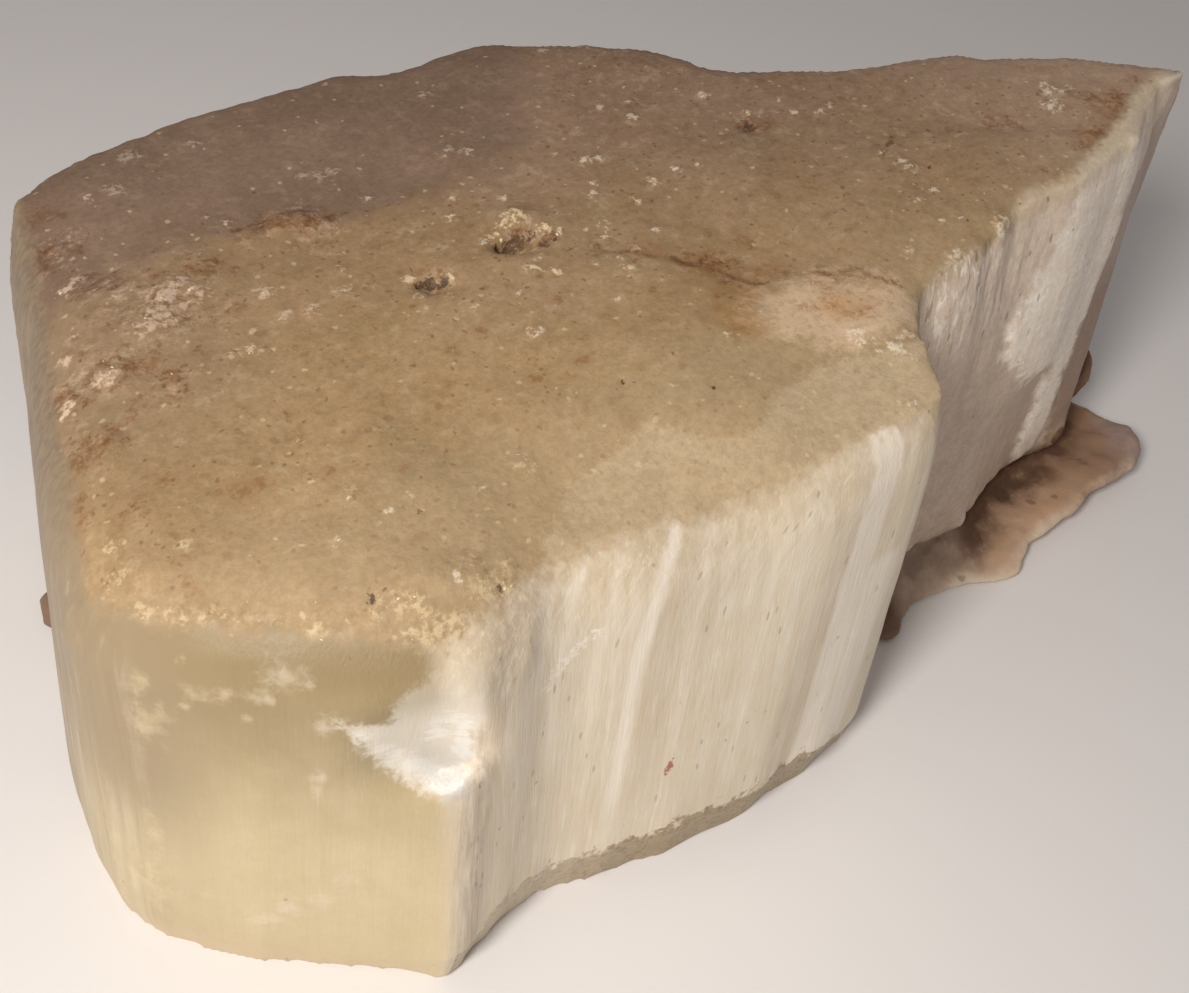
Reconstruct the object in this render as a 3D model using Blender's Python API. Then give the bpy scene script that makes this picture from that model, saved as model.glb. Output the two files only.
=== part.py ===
# Satin spar, a fibrous gypsum: one broken slab of a vein, with its fibres upright.
# The worn top and the base are the vein's two walls; the sides are where it broke.
# Plan positions are in millimetres from a point near the middle of the top, and each
# solid is made in metres. The whole stone is centred over the origin at the end.

import math
import random

import bmesh
import bpy
from mathutils import Vector, noise
from mathutils.geometry import delaunay_2d_cdt

MM = 0.001

# Driving dimensions, in millimetres
TOP_HEIGHT = 57.6      # the top above the base, at the plan's zero
TOP_CLIMB = 0.080      # the top rises this much per millimetre toward the beak
STATION = 2.25         # spacing of the upright flutes round the sides
TOP_GRAIN = 3.3        # spacing of the points that carry the top's unevenness
SHOULDER = 6.0         # height over which the rim rolls over into a side
RIM_ROLL = 2.2         # width of the strip that rounds off the top's edge
FOOT_ROWS = (0.0, 0.35, 1.0)                      # rows of points up the worn foot
BODY_ROWS = (0.17, 0.34, 0.5, 0.66, 0.83, 1.0)    # and from there to the shoulder
SHOULDER_ROWS = (0.42, 0.0)                       # and how far under the rim over it

# Swells of the top: how long each is along x and along y, and how high
SWELLS = ((34.0, 26.0, 0.8), (9.0, 9.0, 0.35))
# The fibres' ribs: how much finer than a flute, how high a rib wanders, and its share of
# the flute's depth
RIBS = ((1.0, 55.0, 1.0), (2.6, 38.0, 0.45))
RAGGED = 3.5           # how uneven a splinter's broken end is

# Each side runs from one corner to the next, anticlockwise from above. A rim point is
# x, y and its drop below the top; a foot point is x and y. flute is how deep the
# fibres' ribs are, flute_width how wide, share how much of the flare lies in the
# shoulder, and bevel how far the foot is worn in under the side, up to undercut.
SIDES = {
    "front_right": {
        "rim": ((-48.4, -36.8, 3.0), (-43.9, -36.0, 3.0), (-38.9, -34.0, 2.8), (-30.7, -35.5, 2.8),
                (-20.0, -34.9, 2.5), (-12.8, -37.0, 2.0), (-3.5, -38.2, 1.5), (7.2, -38.0, 1.0)),
        "foot": ((-52.9, -43.1), (-49.2, -43.2), (-43.8, -40.8), (-37.5, -40.0), (-30.9, -41.9),
                 (-21.3, -43.6), (-10.9, -44.4), (-0.5, -43.6), (6.0, -42.5), (9.2, -41.3)),
        "flute": 0.6, "flute_width": 5.0, "share": 0.55, "bevel": 1.7, "undercut": 7.0,
    },
    "tip": {
        "rim": ((7.2, -38.0, 1.0), (10.0, -32.7, 0.5), (12.3, -28.6, 0.5), (17.2, -24.1, 0.7)),
        "foot": ((9.2, -41.3), (12.0, -37.9), (14.4, -32.3), (21.5, -27.5)),
        "flute": 0.45, "flute_width": 6.0, "share": 0.25, "bevel": 0.8, "undercut": 5.0,
    },
    "flank": {
        "rim": ((17.2, -24.1, 0.7), (23.1, -22.0, 0.5), (28.4, -22.5, 0.5), (32.5, -21.2, 0.5),
                (41.5, -18.0, 0.5), (49.9, -19.0, 0.5), (59.3, -16.2, 0.5), (65.3, -15.3, 0.5),
                (72.6, -11.0, 0.5), (78.0, -8.7, 0.3), (83.9, -8.9, 0.0)),
        "foot": ((21.5, -27.5), (33.0, -25.5), (46.0, -25.2), (55.0, -20.8), (65.4, -18.6),
                 (75.0, -17.8), (81.2, -13.9), (86.8, -9.2)),
        "flute": 1.15, "flute_width": 4.2, "share": 0.15, "bevel": 2.2, "undercut": 8.0,
    },
    "back": {
        "rim": ((83.9, -8.9, 0.0), (76.5, -2.7, 0.0), (71.2, 2.5, 0.0), (64.2, 6.3, 0.0),
                (57.5, 11.1, 0.3), (42.8, 15.4, 0.5), (30.2, 23.3, 0.5), (27.4, 26.2, 0.5),
                (23.2, 33.9, 0.5), (16.8, 39.2, 0.5), (2.6, 46.6, 0.8), (-10.9, 45.9, 1.0),
                (-15.0, 49.6, 1.0), (-29.8, 49.2, 1.0), (-38.0, 49.4, 1.0), (-47.0, 48.2, 1.0),
                (-54.4, 46.9, 1.0), (-60.4, 42.8, 1.0)),
        "foot": ((86.8, -9.2), (84.0, -0.5), (75.0, 7.5), (61.0, 14.5), (45.5, 18.5), (33.5, 24.5),
                 (26.5, 35.0), (18.5, 42.0), (4.0, 49.5), (-10.5, 49.5), (-16.5, 52.5),
                 (-32.0, 51.0), (-48.0, 50.6), (-56.6, 49.0), (-61.9, 45.7)),
        "flute": 1.3, "flute_width": 6.0, "share": 0.3, "bevel": 0.9, "undercut": 5.0,
    },
    "left": {
        "rim": ((-60.4, 42.8, 1.0), (-61.2, 39.0, 1.5), (-64.1, 26.9, 2.0), (-68.9, 9.4, 2.0),
                (-72.6, -3.6, 2.2), (-73.9, -12.6, 2.4), (-73.9, -17.1, 2.4)),
        "foot": ((-61.9, 45.7), (-64.6, 38.0), (-69.1, 24.0), (-74.0, 9.6), (-77.3, -2.0),
                 (-78.2, -10.6)),
        "flute": 0.5, "flute_width": 6.0, "share": 0.54, "bevel": 0.8, "undercut": 4.5,
    },
    "front": {
        "rim": ((-73.9, -17.1, 2.4), (-72.7, -20.9, 2.4), (-67.3, -24.5, 2.4), (-62.4, -28.8, 2.4),
                (-59.8, -31.4, 2.6), (-54.8, -34.5, 2.8), (-48.4, -36.8, 3.0)),
        "foot": ((-78.2, -10.6), (-78.0, -16.6), (-75.9, -21.7), (-72.7, -25.5), (-67.9, -30.1),
                 (-60.0, -36.1), (-56.0, -39.5), (-52.9, -43.1)),
        "flute": 0.3, "flute_width": 8.0, "share": 0.74, "bevel": 0.7, "undercut": 4.5,
    },
}

# Slabs of fibres that still stand out from a side and end in a ragged step: which side,
# where along it, as a share of its length, from which height to which, and how thick.
SPLINTERS = (
    ("flank", 0.06, 0.20, 36.0, 70.0, 1.9),
    ("flank", 0.23, 0.31, 31.0, 70.0, 1.2),
    ("flank", 0.36, 0.66, 27.0, 70.0, 1.4),
    ("flank", 0.74, 0.90, 4.0, 70.0, 1.3),
    ("back", 0.18, 0.34, 18.0, 70.0, 1.8),
    ("back", 0.02, 0.09, 24.0, 70.0, 1.2),
    ("back", 0.55, 0.70, 30.0, 70.0, 1.5),
    ("back", 0.79, 0.90, 14.0, 70.0, 1.1),
    ("left", 0.08, 0.30, 22.0, 70.0, 0.7),
)
# Grooves that run the height of a side: side, where along it, half width, depth.
GROOVES = (
    ("front_right", 0.075, 0.030, 0.7),
    ("flank", 0.215, 0.016, 1.6),
    ("flank", 0.335, 0.014, 1.2),
    ("back", 0.40, 0.030, 2.2),
    ("left", 0.35, 0.040, 0.8),
)

# Low steps across the top, where one thin layer of the vein wall ends on the next: the
# line, how high the far side stands over the near side, and how the far side tilts.
STEPS = (
    {"line": ((-64.5, 19.5), (-56.9, 23.4), (-50.1, 24.9), (-40.7, 23.5), (-38.2, 24.9),
              (-31.8, 21.5), (-23.6, 20.1), (-13.9, 18.3)), "rise": -0.9, "fade": 16.0},
    {"line": ((-50.0, 18.6), (-44.7, 18.8), (-40.3, 14.9), (-34.0, 14.0)), "rise": -0.5, "fade": 7.0},
    {"line": ((-13.8, 1.7), (-6.2, -3.0), (-1.8, -8.3), (1.8, -14.3), (7.7, -14.3), (9.5, -17.3),
              (13.1, -20.8)), "rise": -0.9, "fade": 14.0},
    {"line": ((30.7, -3.3), (35.9, 0.0), (40.3, -0.5), (44.5, -3.5), (51.4, -8.1), (60.4, -12.6)),
     "rise": -0.6, "fade": 12.0},
)
# Beyond this crease the top bends down toward the front right face.
CREASE = ((-40.0, -9.0), (-30.9, -16.0), (-25.6, -22.3), (-18.7, -28.3), (-14.3, -30.6),
          (-7.5, -28.4), (1.8, -27.4), (9.5, -27.5))
CREASE_FALL = 0.16     # how steeply, per millimetre
CREASE_FADE = 14.0     # the bend dies out over this much before the crease's start

# Pits and lumps on the top: centre, half length, half width, turn in degrees, and height
# (a pit's is below zero).
MARKS = (
    {"at": (-17.4, 5.2), "size": (3.1, 1.6), "turn": -24, "height": -2.4},
    {"at": (-12.8, 3.9), "size": (1.5, 0.9), "turn": -40, "height": -1.1},
    {"at": (-28.4, 3.7), "size": (2.5, 1.3), "turn": -36, "height": -1.9},
    {"at": (22.1, 11.1), "size": (2.2, 1.2), "turn": -30, "height": -1.3},
    {"at": (-14.6, 9.6), "size": (2.6, 1.5), "turn": -40, "height": 1.3},
    {"at": (-11.9, 6.0), "size": (2.2, 0.9), "turn": -50, "height": 0.9},
    {"at": (-20.4, 3.4), "size": (2.8, 1.0), "turn": -30, "height": 0.6},
    {"at": (-35.4, 22.0), "size": (5.0, 1.8), "turn": -24, "height": 1.1},
    {"at": (-58.0, 13.5), "size": (7.0, 5.5), "turn": 25, "height": 0.7},
    {"at": (-66.8, -0.9), "size": (2.4, 1.5), "turn": 20, "height": 0.7},
    {"at": (34.4, -19.9), "size": (1.7, 1.3), "turn": -10, "height": 1.3},
    {"at": (7.5, -27.0), "size": (4.5, 3.0), "turn": 10, "height": 0.6},
    {"at": (-50.2, -31.2), "size": (3.0, 1.5), "turn": -20, "height": 0.9},
    {"at": (-70.0, -17.5), "size": (2.2, 1.3), "turn": -60, "height": 0.7},
)

# The silky scallop broken off the front corner: an egg-shaped cut that starts at nothing
# under the rim, runs deeper downwards and ends in a ledge.
CHIP_AT = (-55.3, -39.6, 38.6)
CHIP_SIZE = (8.0, 3.7, 14.0)
CHIP_TURN = -17
CHIP_SQUASH = 0.42     # how much of the cut's height its lower half keeps
CHIP_LEAN = 2.0        # how far the top of the cut leans out of the stone

# The brown crust that spreads from the foot of the flank. Each section across it holds
# x at the edge, y at the edge, the edge's height, how far its underside hangs over the
# ground, then x, y and height of the trough where it meets the side.
CRUST = (
    (25.0, -30.9, 1.2, 0.0, 28.5, -26.5, 5.4),
    (29.0, -30.9, 1.6, 0.0, 31.5, -25.9, 6.2),
    (33.6, -29.0, 1.3, 0.0, 36.0, -24.6, 6.0),
    (38.6, -29.3, 1.2, 0.0, 40.5, -24.5, 5.8),
    (43.6, -30.2, 1.4, 0.0, 45.0, -24.9, 5.0),
    (48.6, -32.3, 1.7, 0.0, 49.5, -23.2, 4.2),
    (52.4, -33.2, 2.2, 0.2, 53.5, -21.2, 3.8),
    (54.6, -31.4, 3.2, 0.6, 56.5, -20.0, 3.5),
    (58.2, -30.0, 3.8, 0.9, 60.5, -18.6, 3.4),
    (63.0, -29.4, 4.4, 1.2, 65.5, -18.0, 3.3),
    (68.6, -29.2, 5.0, 1.6, 70.5, -18.0, 3.3),
    (74.0, -27.6, 5.4, 1.8, 76.0, -16.8, 3.5),
    (79.6, -28.0, 5.8, 2.0, 80.5, -14.6, 3.8),
    (84.6, -27.6, 6.0, 2.1, 83.5, -13.0, 4.0),
    (89.0, -25.6, 6.3, 2.2, 85.5, -11.5, 4.2),
    (91.4, -21.8, 6.3, 2.2, 86.0, -9.5, 4.5),
    (90.2, -16.6, 5.4, 1.8, 86.0, -7.5, 4.6),
    (89.6, -12.2, 4.8, 1.6, 85.5, -5.5, 4.6),
)
CRUST_LIP = 1.1        # how wide the crust's edge is rounded over
CRUST_ROOT = 5.0       # how far the crust runs in under the side
CRUST_HEART = (45.0, 0.0)      # the point in the stone that its roots run toward
CLEARANCE = 0.3        # how far the crust and the lumps stay off the ground

# Brown lumps that are part of the stone: centre, half sizes, turn in degrees.
LUMPS = (
    {"at": (86.0, -9.6, 10.6), "size": (3.4, 3.6, 5.8), "turn": 30},
    {"at": (27.0, -30.2, 1.4), "size": (2.6, 1.9, 1.9), "turn": 10},
    {"at": (-68.8, 26.8, 2.5), "size": (2.1, 3.2, 2.4), "turn": -12},
    {"at": (-65.0, 36.0, 2.6), "size": (1.9, 8.0, 2.7), "turn": -16},
)


def smooth(edge0, edge1, value):
    """0 below edge0, 1 above edge1, and an even S between them."""
    t = min(max((value - edge0) / (edge1 - edge0), 0.0), 1.0)
    return t * t * (3 - 2 * t)


def along(points, count):
    """count points at even steps along a line, without its last point."""
    points = [Vector(p) for p in points]
    lengths = [(b.xy - a.xy).length for a, b in zip(points, points[1:])]
    step = sum(lengths) / count
    found = []
    leg = 0
    passed = 0.0
    for i in range(count):
        while passed + lengths[leg] < i * step - 1e-9:
            passed += lengths[leg]
            leg += 1
        found.append(points[leg].lerp(points[leg + 1], (i * step - passed) / lengths[leg]))
    return found


def nearest(line, x, y):
    """How far a point lies from a line, on which side of it, and how far along it."""
    point = Vector((x, y))
    best = (1e9, 1.0, 0.0)
    passed = 0.0
    for a, b in zip(line, line[1:]):
        a, b = Vector(a), Vector(b)
        leg = b - a
        share = min(max((point - a).dot(leg) / leg.length_squared, 0.0), 1.0)
        off = point - (a + leg * share)
        if off.length < best[0]:
            side = 1.0 if leg.x * off.y - leg.y * off.x >= 0 else -1.0
            best = (off.length, side, passed + share * leg.length)
        passed += leg.length
    return best


def line_length(line):
    return sum((Vector(b) - Vector(a)).length for a, b in zip(line, line[1:]))


def mark_height(mark, x, y):
    turn = math.radians(mark["turn"])
    dx, dy = x - mark["at"][0], y - mark["at"][1]
    u = (dx * math.cos(turn) + dy * math.sin(turn)) / mark["size"][0]
    v = (dy * math.cos(turn) - dx * math.sin(turn)) / mark["size"][1]
    return mark["height"] * (1 - smooth(0.35, 1.25, math.hypot(u, v)))


def step_height(step, x, y):
    distance, side, passed = nearest(step["line"], x, y)
    ends = smooth(0, 5, passed) * smooth(0, 5, line_length(step["line"]) - passed)
    ramp = smooth(-0.7, 0.7, distance * side)
    if side > 0:
        return step["rise"] * ends * ramp * (1 - 0.75 * smooth(0, step["fade"], distance))
    return step["rise"] * ends * ramp


def crease_y(x):
    """How far toward the front right the crease lies at this x."""
    for a, b in zip(CREASE, CREASE[1:]):
        if a[0] <= x <= b[0]:
            return a[1] + (b[1] - a[1]) * (x - a[0]) / (b[0] - a[0])
    return CREASE[0][1] - (CREASE[0][0] - x) if x < CREASE[0][0] else CREASE[-1][1]


def top_height(x, y):
    """Height of the worn top over the base."""
    z = TOP_HEIGHT + TOP_CLIMB * x
    for length, width, height in SWELLS:
        z += height * noise.noise(Vector((x / length, y / width, length)))
    z -= CREASE_FALL * max(0.0, crease_y(x) - y) * smooth(CREASE[0][0] - CREASE_FADE, CREASE[2][0], x)
    z += sum(step_height(step, x, y) for step in STEPS)
    z += sum(mark_height(mark, x, y) for mark in MARKS)
    return z


def stations():
    """One upright flute after another round the stone."""
    found = []
    for name, side in SIDES.items():
        length = line_length([p[:2] for p in side["rim"]])
        count = max(4, round(length / STATION))
        rims = along(side["rim"], count)
        feet = along(side["foot"], count)
        for i, (rim, foot) in enumerate(zip(rims, feet)):
            found.append({"side": name, "share": i / count, "rim": rim, "foot": foot})
    for i, station in enumerate(found):
        before, after = found[i - 2], found[(i + 2) % len(found)]
        run = (after["foot"] + after["rim"].xy - before["foot"] - before["rim"].xy) / 2
        station["out"] = Vector((run.y, -run.x)).normalized()
        station["rim_z"] = TOP_HEIGHT + TOP_CLIMB * station["rim"].x - station["rim"].z
        for value in ("bevel", "undercut"):
            spread = [SIDES[found[(i + k) % len(found)]["side"]][value] for k in range(-3, 4)]
            station[value] = sum(spread) / len(spread)
    return found


def rib(station, index, z):
    """How far the broken fibres stand out of the side at this height."""
    side = SIDES[station["side"]]
    across = index * STATION / side["flute_width"]
    out = 0.0
    for finer, height, share in RIBS:
        out += share * side["flute"] * noise.noise(Vector((across * finer, z / height, height)))
    for name, start, end, low, high, thick in SPLINTERS:
        if name == station["side"]:
            ragged = low + RAGGED * noise.noise(Vector((index * 0.7, low, 1.0)))
            mask = smooth(start - 0.012, start + 0.012, station["share"])
            mask *= 1 - smooth(end - 0.012, end + 0.012, station["share"])
            out += thick * mask * smooth(ragged - 1.5, ragged + 1.5, z) * (z < high)
    for name, place, half, depth in GROOVES:
        if name == station["side"]:
            out -= depth * (1 - smooth(0.3, 1.0, abs(station["share"] - place) / half))
    return out


def side_rows(ring):
    """The side's points, row by row from the base to the rim."""
    rows = []
    levels = [("foot", share) for share in FOOT_ROWS]
    levels += [("body", share) for share in BODY_ROWS]
    levels += [("shoulder", share) for share in SHOULDER_ROWS]
    for zone, part in levels:
        row = []
        for index, station in enumerate(ring):
            side = SIDES[station["side"]]
            top = station["rim_z"]
            shoulder = top - SHOULDER
            undercut = station["undercut"]
            if zone == "foot":
                z = undercut * part
            elif zone == "body":
                z = undercut + (shoulder - undercut) * part
            else:
                z = top - SHOULDER * part
            if z <= shoulder:
                flare = side["share"] + (1 - side["share"]) * (1 - z / shoulder) ** 0.8
            else:
                flare = side["share"] * (1 - ((z - shoulder) / SHOULDER) ** 1.8)
            place = station["rim"].xy.lerp(station["foot"], flare)
            worn = station["bevel"] * (1 - smooth(0, undercut, z))
            fading = 1 - 0.65 * smooth(shoulder, top, z)
            place += station["out"] * (rib(station, index, z) * fading - worn)
            row.append((place.x, place.y, z))
        rows.append(row)
    return rows


def top_lines():
    """Lines on the top that its triangles keep to: both edges of each step, and the crease."""
    for step in STEPS:
        count = round(line_length(step["line"]) / 2.2)
        middle = along(step["line"], count) + [Vector(step["line"][-1])]
        for offset in (-0.7, 0.7):
            shifted = []
            for i, point in enumerate(middle):
                run = middle[min(i + 1, count)] - middle[max(i - 1, 0)]
                shifted.append(point + Vector((-run.y, run.x)).normalized() * offset)
            yield shifted
    count = round(line_length(CREASE) / 3.0)
    yield along(CREASE, count)


def mark_rings():
    for mark in MARKS:
        turn = math.radians(mark["turn"])
        yield Vector(mark["at"])
        for share, count in ((0.45, 8), (0.85, 10), (1.3, 12)):
            for i in range(count):
                angle = 2 * math.pi * (i + share) / count
                u = mark["size"][0] * share * math.cos(angle)
                v = mark["size"][1] * share * math.sin(angle)
                yield Vector(mark["at"]) + Vector((u * math.cos(turn) - v * math.sin(turn),
                                                   u * math.sin(turn) + v * math.cos(turn)))


def inside(outline, point):
    """Whether a point lies in a closed outline."""
    odd = False
    for a, b in zip(outline, outline[1:] + outline[:1]):
        if (a.y > point.y) != (b.y > point.y):
            if point.x < a.x + (point.y - a.y) * (b.x - a.x) / (b.y - a.y):
                odd = not odd
    return odd


def top_mesh(rim):
    """Points, heights and triangles of the top, which start with the rim's own points."""
    rng = random.Random(11)
    outline = [Vector(p[:2]) for p in rim]
    count = len(outline)
    points = list(outline)
    edges = [(i, (i + 1) % count) for i in range(count)]

    def clear(point, gap):
        return all((point - other).length > gap for other in points)

    limit = []
    for i, point in enumerate(outline):
        run = outline[(i + 2) % count] - outline[i - 2]
        limit.append(point + Vector((-run.y, run.x)).normalized() * RIM_ROLL)
    for point in limit[::2]:
        if inside(outline, point) and clear(point, RIM_ROLL * 0.8):
            points.append(point)
    for line in top_lines():
        last = None
        for point in line:
            if inside(limit, point) and clear(point, 0.6):
                points.append(point)
                if last is not None:
                    edges.append((last, len(points) - 1))
                last = len(points) - 1
            else:
                last = None
    for point in mark_rings():
        if inside(limit, point) and clear(point, 0.5):
            points.append(point)
    rows = 0
    y = -46.0
    while y < 54:
        x = -80.0 + (rows % 2) * TOP_GRAIN / 2
        while x < 88:
            point = Vector((x + rng.uniform(-0.9, 0.9), y + rng.uniform(-0.9, 0.9)))
            if inside(limit, point) and clear(point, 1.7):
                points.append(point)
            x += TOP_GRAIN
        y += TOP_GRAIN * 0.87
        rows += 1
    found, _, faces, *_ = delaunay_2d_cdt(points, edges, [tuple(range(count))], 1, 1e-5)
    heights = []
    for i, point in enumerate(found):
        if i < count:
            heights.append(rim[i][2])
            continue
        distance = min((point - other).length for other in outline)
        drop = max(0.0, 1 - distance / (RIM_ROLL * 2.6)) ** 2
        near = min(range(count), key=lambda k: (point - outline[k]).length)
        heights.append(top_height(point.x, point.y) * (1 - drop) + rim[near][2] * drop)
    return found, heights, faces


def material(name, colour, roughness):
    made = bpy.data.materials.new(name)
    made.use_nodes = True
    shader = made.node_tree.nodes["Principled BSDF"]
    shader.inputs["Base Color"].default_value = (*colour, 1.0)
    shader.inputs["Roughness"].default_value = roughness
    shader.inputs["Metallic"].default_value = 0.0
    made.diffuse_color = (*colour, 1.0)
    return made


def finish_mesh(name, build, helper=False):
    """An object from a bmesh, with its faces turned outwards and its points in metres."""
    bmesh.ops.recalc_face_normals(build, faces=build.faces)
    bmesh.ops.scale(build, vec=(MM, MM, MM), verts=build.verts)
    mesh = bpy.data.meshes.new(name)
    build.to_mesh(mesh)
    build.free()
    made = bpy.data.objects.new(name, mesh)
    bpy.context.scene.collection.objects.link(made)
    if helper:
        made.hide_render = True
        made.display_type = "WIRE"
    return made


def build_block():
    """The slab itself: the fluted sides, the worn top and the flat base."""
    build = bmesh.new()
    rows = side_rows(stations())
    grid = [[build.verts.new(point) for point in row] for row in rows]
    count = len(grid[0])
    for lower, upper in zip(grid, grid[1:]):
        for i in range(count):
            j = (i + 1) % count
            build.faces.new((lower[i], lower[j], upper[j], upper[i]))
    build.faces.new(reversed(grid[0]))
    found, heights, faces = top_mesh(rows[-1])
    verts = grid[-1] + [build.verts.new((p.x, p.y, z)) for p, z in zip(found[count:], heights[count:])]
    for face in faces:
        build.faces.new([verts[i] for i in face])
    bmesh.ops.triangulate(build, faces=build.faces)
    return finish_mesh("satin_spar", build)


def build_crust():
    """The crust at the foot of the flank, lofted through its sections."""
    build = bmesh.new()
    rings = []
    for x, y, height, lift, inner_x, inner_y, inner_z in CRUST:
        edge, trough = Vector((x, y)), Vector((inner_x, inner_y))
        inward = (trough - edge).normalized()
        lip = edge + inward * CRUST_LIP
        middle = edge.lerp(trough, 0.55)
        root = trough + (Vector(CRUST_HEART) - trough).normalized() * CRUST_ROOT
        under = edge + inward * (CRUST_LIP + 2.2 * lift)
        section = (
            (root.x, root.y, CLEARANCE), (under.x, under.y, CLEARANCE),
            ((edge + inward * 0.3).x, (edge + inward * 0.3).y, max(0.7, height * 0.35 + lift * 0.5)),
            (edge.x, edge.y, height * 0.8), (lip.x, lip.y, height),
            (middle.x, middle.y, height * 0.45 + inner_z * 0.45),
            (trough.x, trough.y, inner_z), (root.x, root.y, inner_z + 1.5),
        )
        rings.append([build.verts.new(point) for point in section])
    for first, second in zip(rings, rings[1:]):
        for i in range(len(first)):
            j = (i + 1) % len(first)
            build.faces.new((first[i], first[j], second[j], second[i]))
    build.faces.new(reversed(rings[0]))
    build.faces.new(rings[-1])
    bmesh.ops.triangulate(build, faces=build.faces)
    return finish_mesh("crust", build, helper=True)


def build_egg(name, at, size, turn, roughness, seed, squash=1.0, lean=0.0):
    """A rough egg clear of the ground. squash flattens its lower half; lean tips its top out."""
    build = bmesh.new()
    bmesh.ops.create_icosphere(build, subdivisions=3, radius=1.0)
    angle = math.radians(turn)
    for vert in build.verts:
        grow = 1 + roughness * noise.noise(vert.co * 2.3 + Vector((seed, 0, 0)))
        u, v, w = (vert.co[k] * size[k] * grow for k in range(3))
        v -= lean * w / size[2]
        if w < 0:
            w *= squash
        vert.co = Vector((at[0] + u * math.cos(angle) - v * math.sin(angle),
                          at[1] + u * math.sin(angle) + v * math.cos(angle),
                          max(at[2] + w, CLEARANCE)))
    return finish_mesh(name, build, helper=True)


def combine(target, other, operation):
    cut = target.modifiers.new(other.name, "BOOLEAN")
    cut.operation = operation
    cut.object = other
    cut.solver = "EXACT"


def centre_over_origin(objects, solid):
    """Moves everything so that the stone's box stands centred on the origin."""
    bpy.context.view_layer.update()
    graph = bpy.context.evaluated_depsgraph_get()
    evaluated = solid.evaluated_get(graph)
    mesh = evaluated.to_mesh()
    low = Vector([min(v.co[k] for v in mesh.vertices) for k in range(3)])
    high = Vector([max(v.co[k] for v in mesh.vertices) for k in range(3)])
    evaluated.to_mesh_clear()
    shift = Vector((-(low.x + high.x) / 2, -(low.y + high.y) / 2, -low.z))
    for obj in objects:
        for vert in obj.data.vertices:
            vert.co += shift
    print("plan zero lies at", [round(v / MM, 2) for v in shift], "mm")


def main():
    for obj in list(bpy.data.objects):
        bpy.data.objects.remove(obj, do_unlink=True)
    block = build_block()
    block.data.materials.append(material("satin_spar", (0.64, 0.50, 0.34), 0.5))
    helpers = [build_crust()]
    for i, lump in enumerate(LUMPS):
        helpers.append(build_egg(f"lump_{i}", lump["at"], lump["size"], lump["turn"], 0.25, i))
    for helper in helpers:
        combine(block, helper, "UNION")
    chip = build_egg("chip", CHIP_AT, CHIP_SIZE, CHIP_TURN, 0.12, 9, CHIP_SQUASH, CHIP_LEAN)
    combine(block, chip, "DIFFERENCE")
    helpers.append(chip)
    centre_over_origin([block] + helpers, block)


main()
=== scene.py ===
import math
import random
from types import SimpleNamespace

import bpy
import numpy as np
from mathutils import Matrix, Vector
from mathutils.bvhtree import BVHTree


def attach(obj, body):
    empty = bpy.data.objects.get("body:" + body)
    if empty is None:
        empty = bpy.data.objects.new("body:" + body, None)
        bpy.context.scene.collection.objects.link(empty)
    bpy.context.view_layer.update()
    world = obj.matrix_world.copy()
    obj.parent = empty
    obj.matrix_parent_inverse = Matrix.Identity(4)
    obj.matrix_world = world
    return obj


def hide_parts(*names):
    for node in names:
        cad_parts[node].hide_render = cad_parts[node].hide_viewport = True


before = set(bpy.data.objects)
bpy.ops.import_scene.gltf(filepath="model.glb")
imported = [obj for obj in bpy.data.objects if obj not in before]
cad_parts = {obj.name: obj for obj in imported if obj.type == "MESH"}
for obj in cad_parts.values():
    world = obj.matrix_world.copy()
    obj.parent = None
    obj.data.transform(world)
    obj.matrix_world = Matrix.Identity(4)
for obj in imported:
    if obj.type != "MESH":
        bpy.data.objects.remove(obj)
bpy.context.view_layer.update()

# Places are in millimetres from the middle of the stone's plan, as in its CAD source.
mm = 0.001
planMiddle = (-6.65, -4.35)

photoCamera = {
    "place": (-95.7, -101.5, 142.9),
    "right": (0.8067, -0.5792, 0.1173),     # the directions of the picture's right and down
    "down": (-0.3312, -0.6076, -0.7219),
    "lens": 42.15,
    "sensor": 36,
}


def inRow(place):
    # plan millimetres to the row's metres
    return Vector((place[0] + planMiddle[0], place[1] + planMiddle[1], place[2])) * mm


def setCamera():
    data = bpy.data.cameras.new("photoCamera")
    data.sensor_fit = "HORIZONTAL"
    data.sensor_width = photoCamera["sensor"]
    data.lens = photoCamera["lens"]
    data.clip_start = mm
    camera = bpy.data.objects.new("photoCamera", data)
    bpy.context.scene.collection.objects.link(camera)
    right, down = Vector(photoCamera["right"]), Vector(photoCamera["down"])
    ahead = right.cross(down)
    camera.matrix_world = Matrix((right, -down, -ahead)).transposed().to_4x4()
    camera.matrix_world.translation = inRow(photoCamera["place"])
    bpy.context.scene.camera = camera


setCamera()
print("camera set")


# Helpers for working on a mesh

def pickOnly(piece):
    bpy.ops.object.select_all(action="DESELECT")
    piece.select_set(True)
    bpy.context.view_layer.objects.active = piece


def addAndApply(piece, kind, **settings):
    pickOnly(piece)
    modifier = piece.modifiers.new(kind.lower(), kind)
    for name, value in settings.items():
        setattr(modifier, name, value)
    bpy.ops.object.modifier_apply(modifier=modifier.name)


def placesOf(piece):
    flat = np.empty(len(piece.data.vertices) * 3, np.float32)
    piece.data.vertices.foreach_get("co", flat)
    return flat.reshape(-1, 3).astype(float) / mm - (*planMiddle, 0)


def putPlaces(piece, places):
    flat = ((places + (*planMiddle, 0)) * mm).astype(np.float32).reshape(-1)
    piece.data.vertices.foreach_set("co", flat)
    piece.data.update()


def facingsOf(piece):
    flat = np.empty(len(piece.data.vertices) * 3, np.float32)
    piece.data.vertex_normals.foreach_get("vector", flat)
    return flat.reshape(-1, 3).astype(float)


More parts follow.
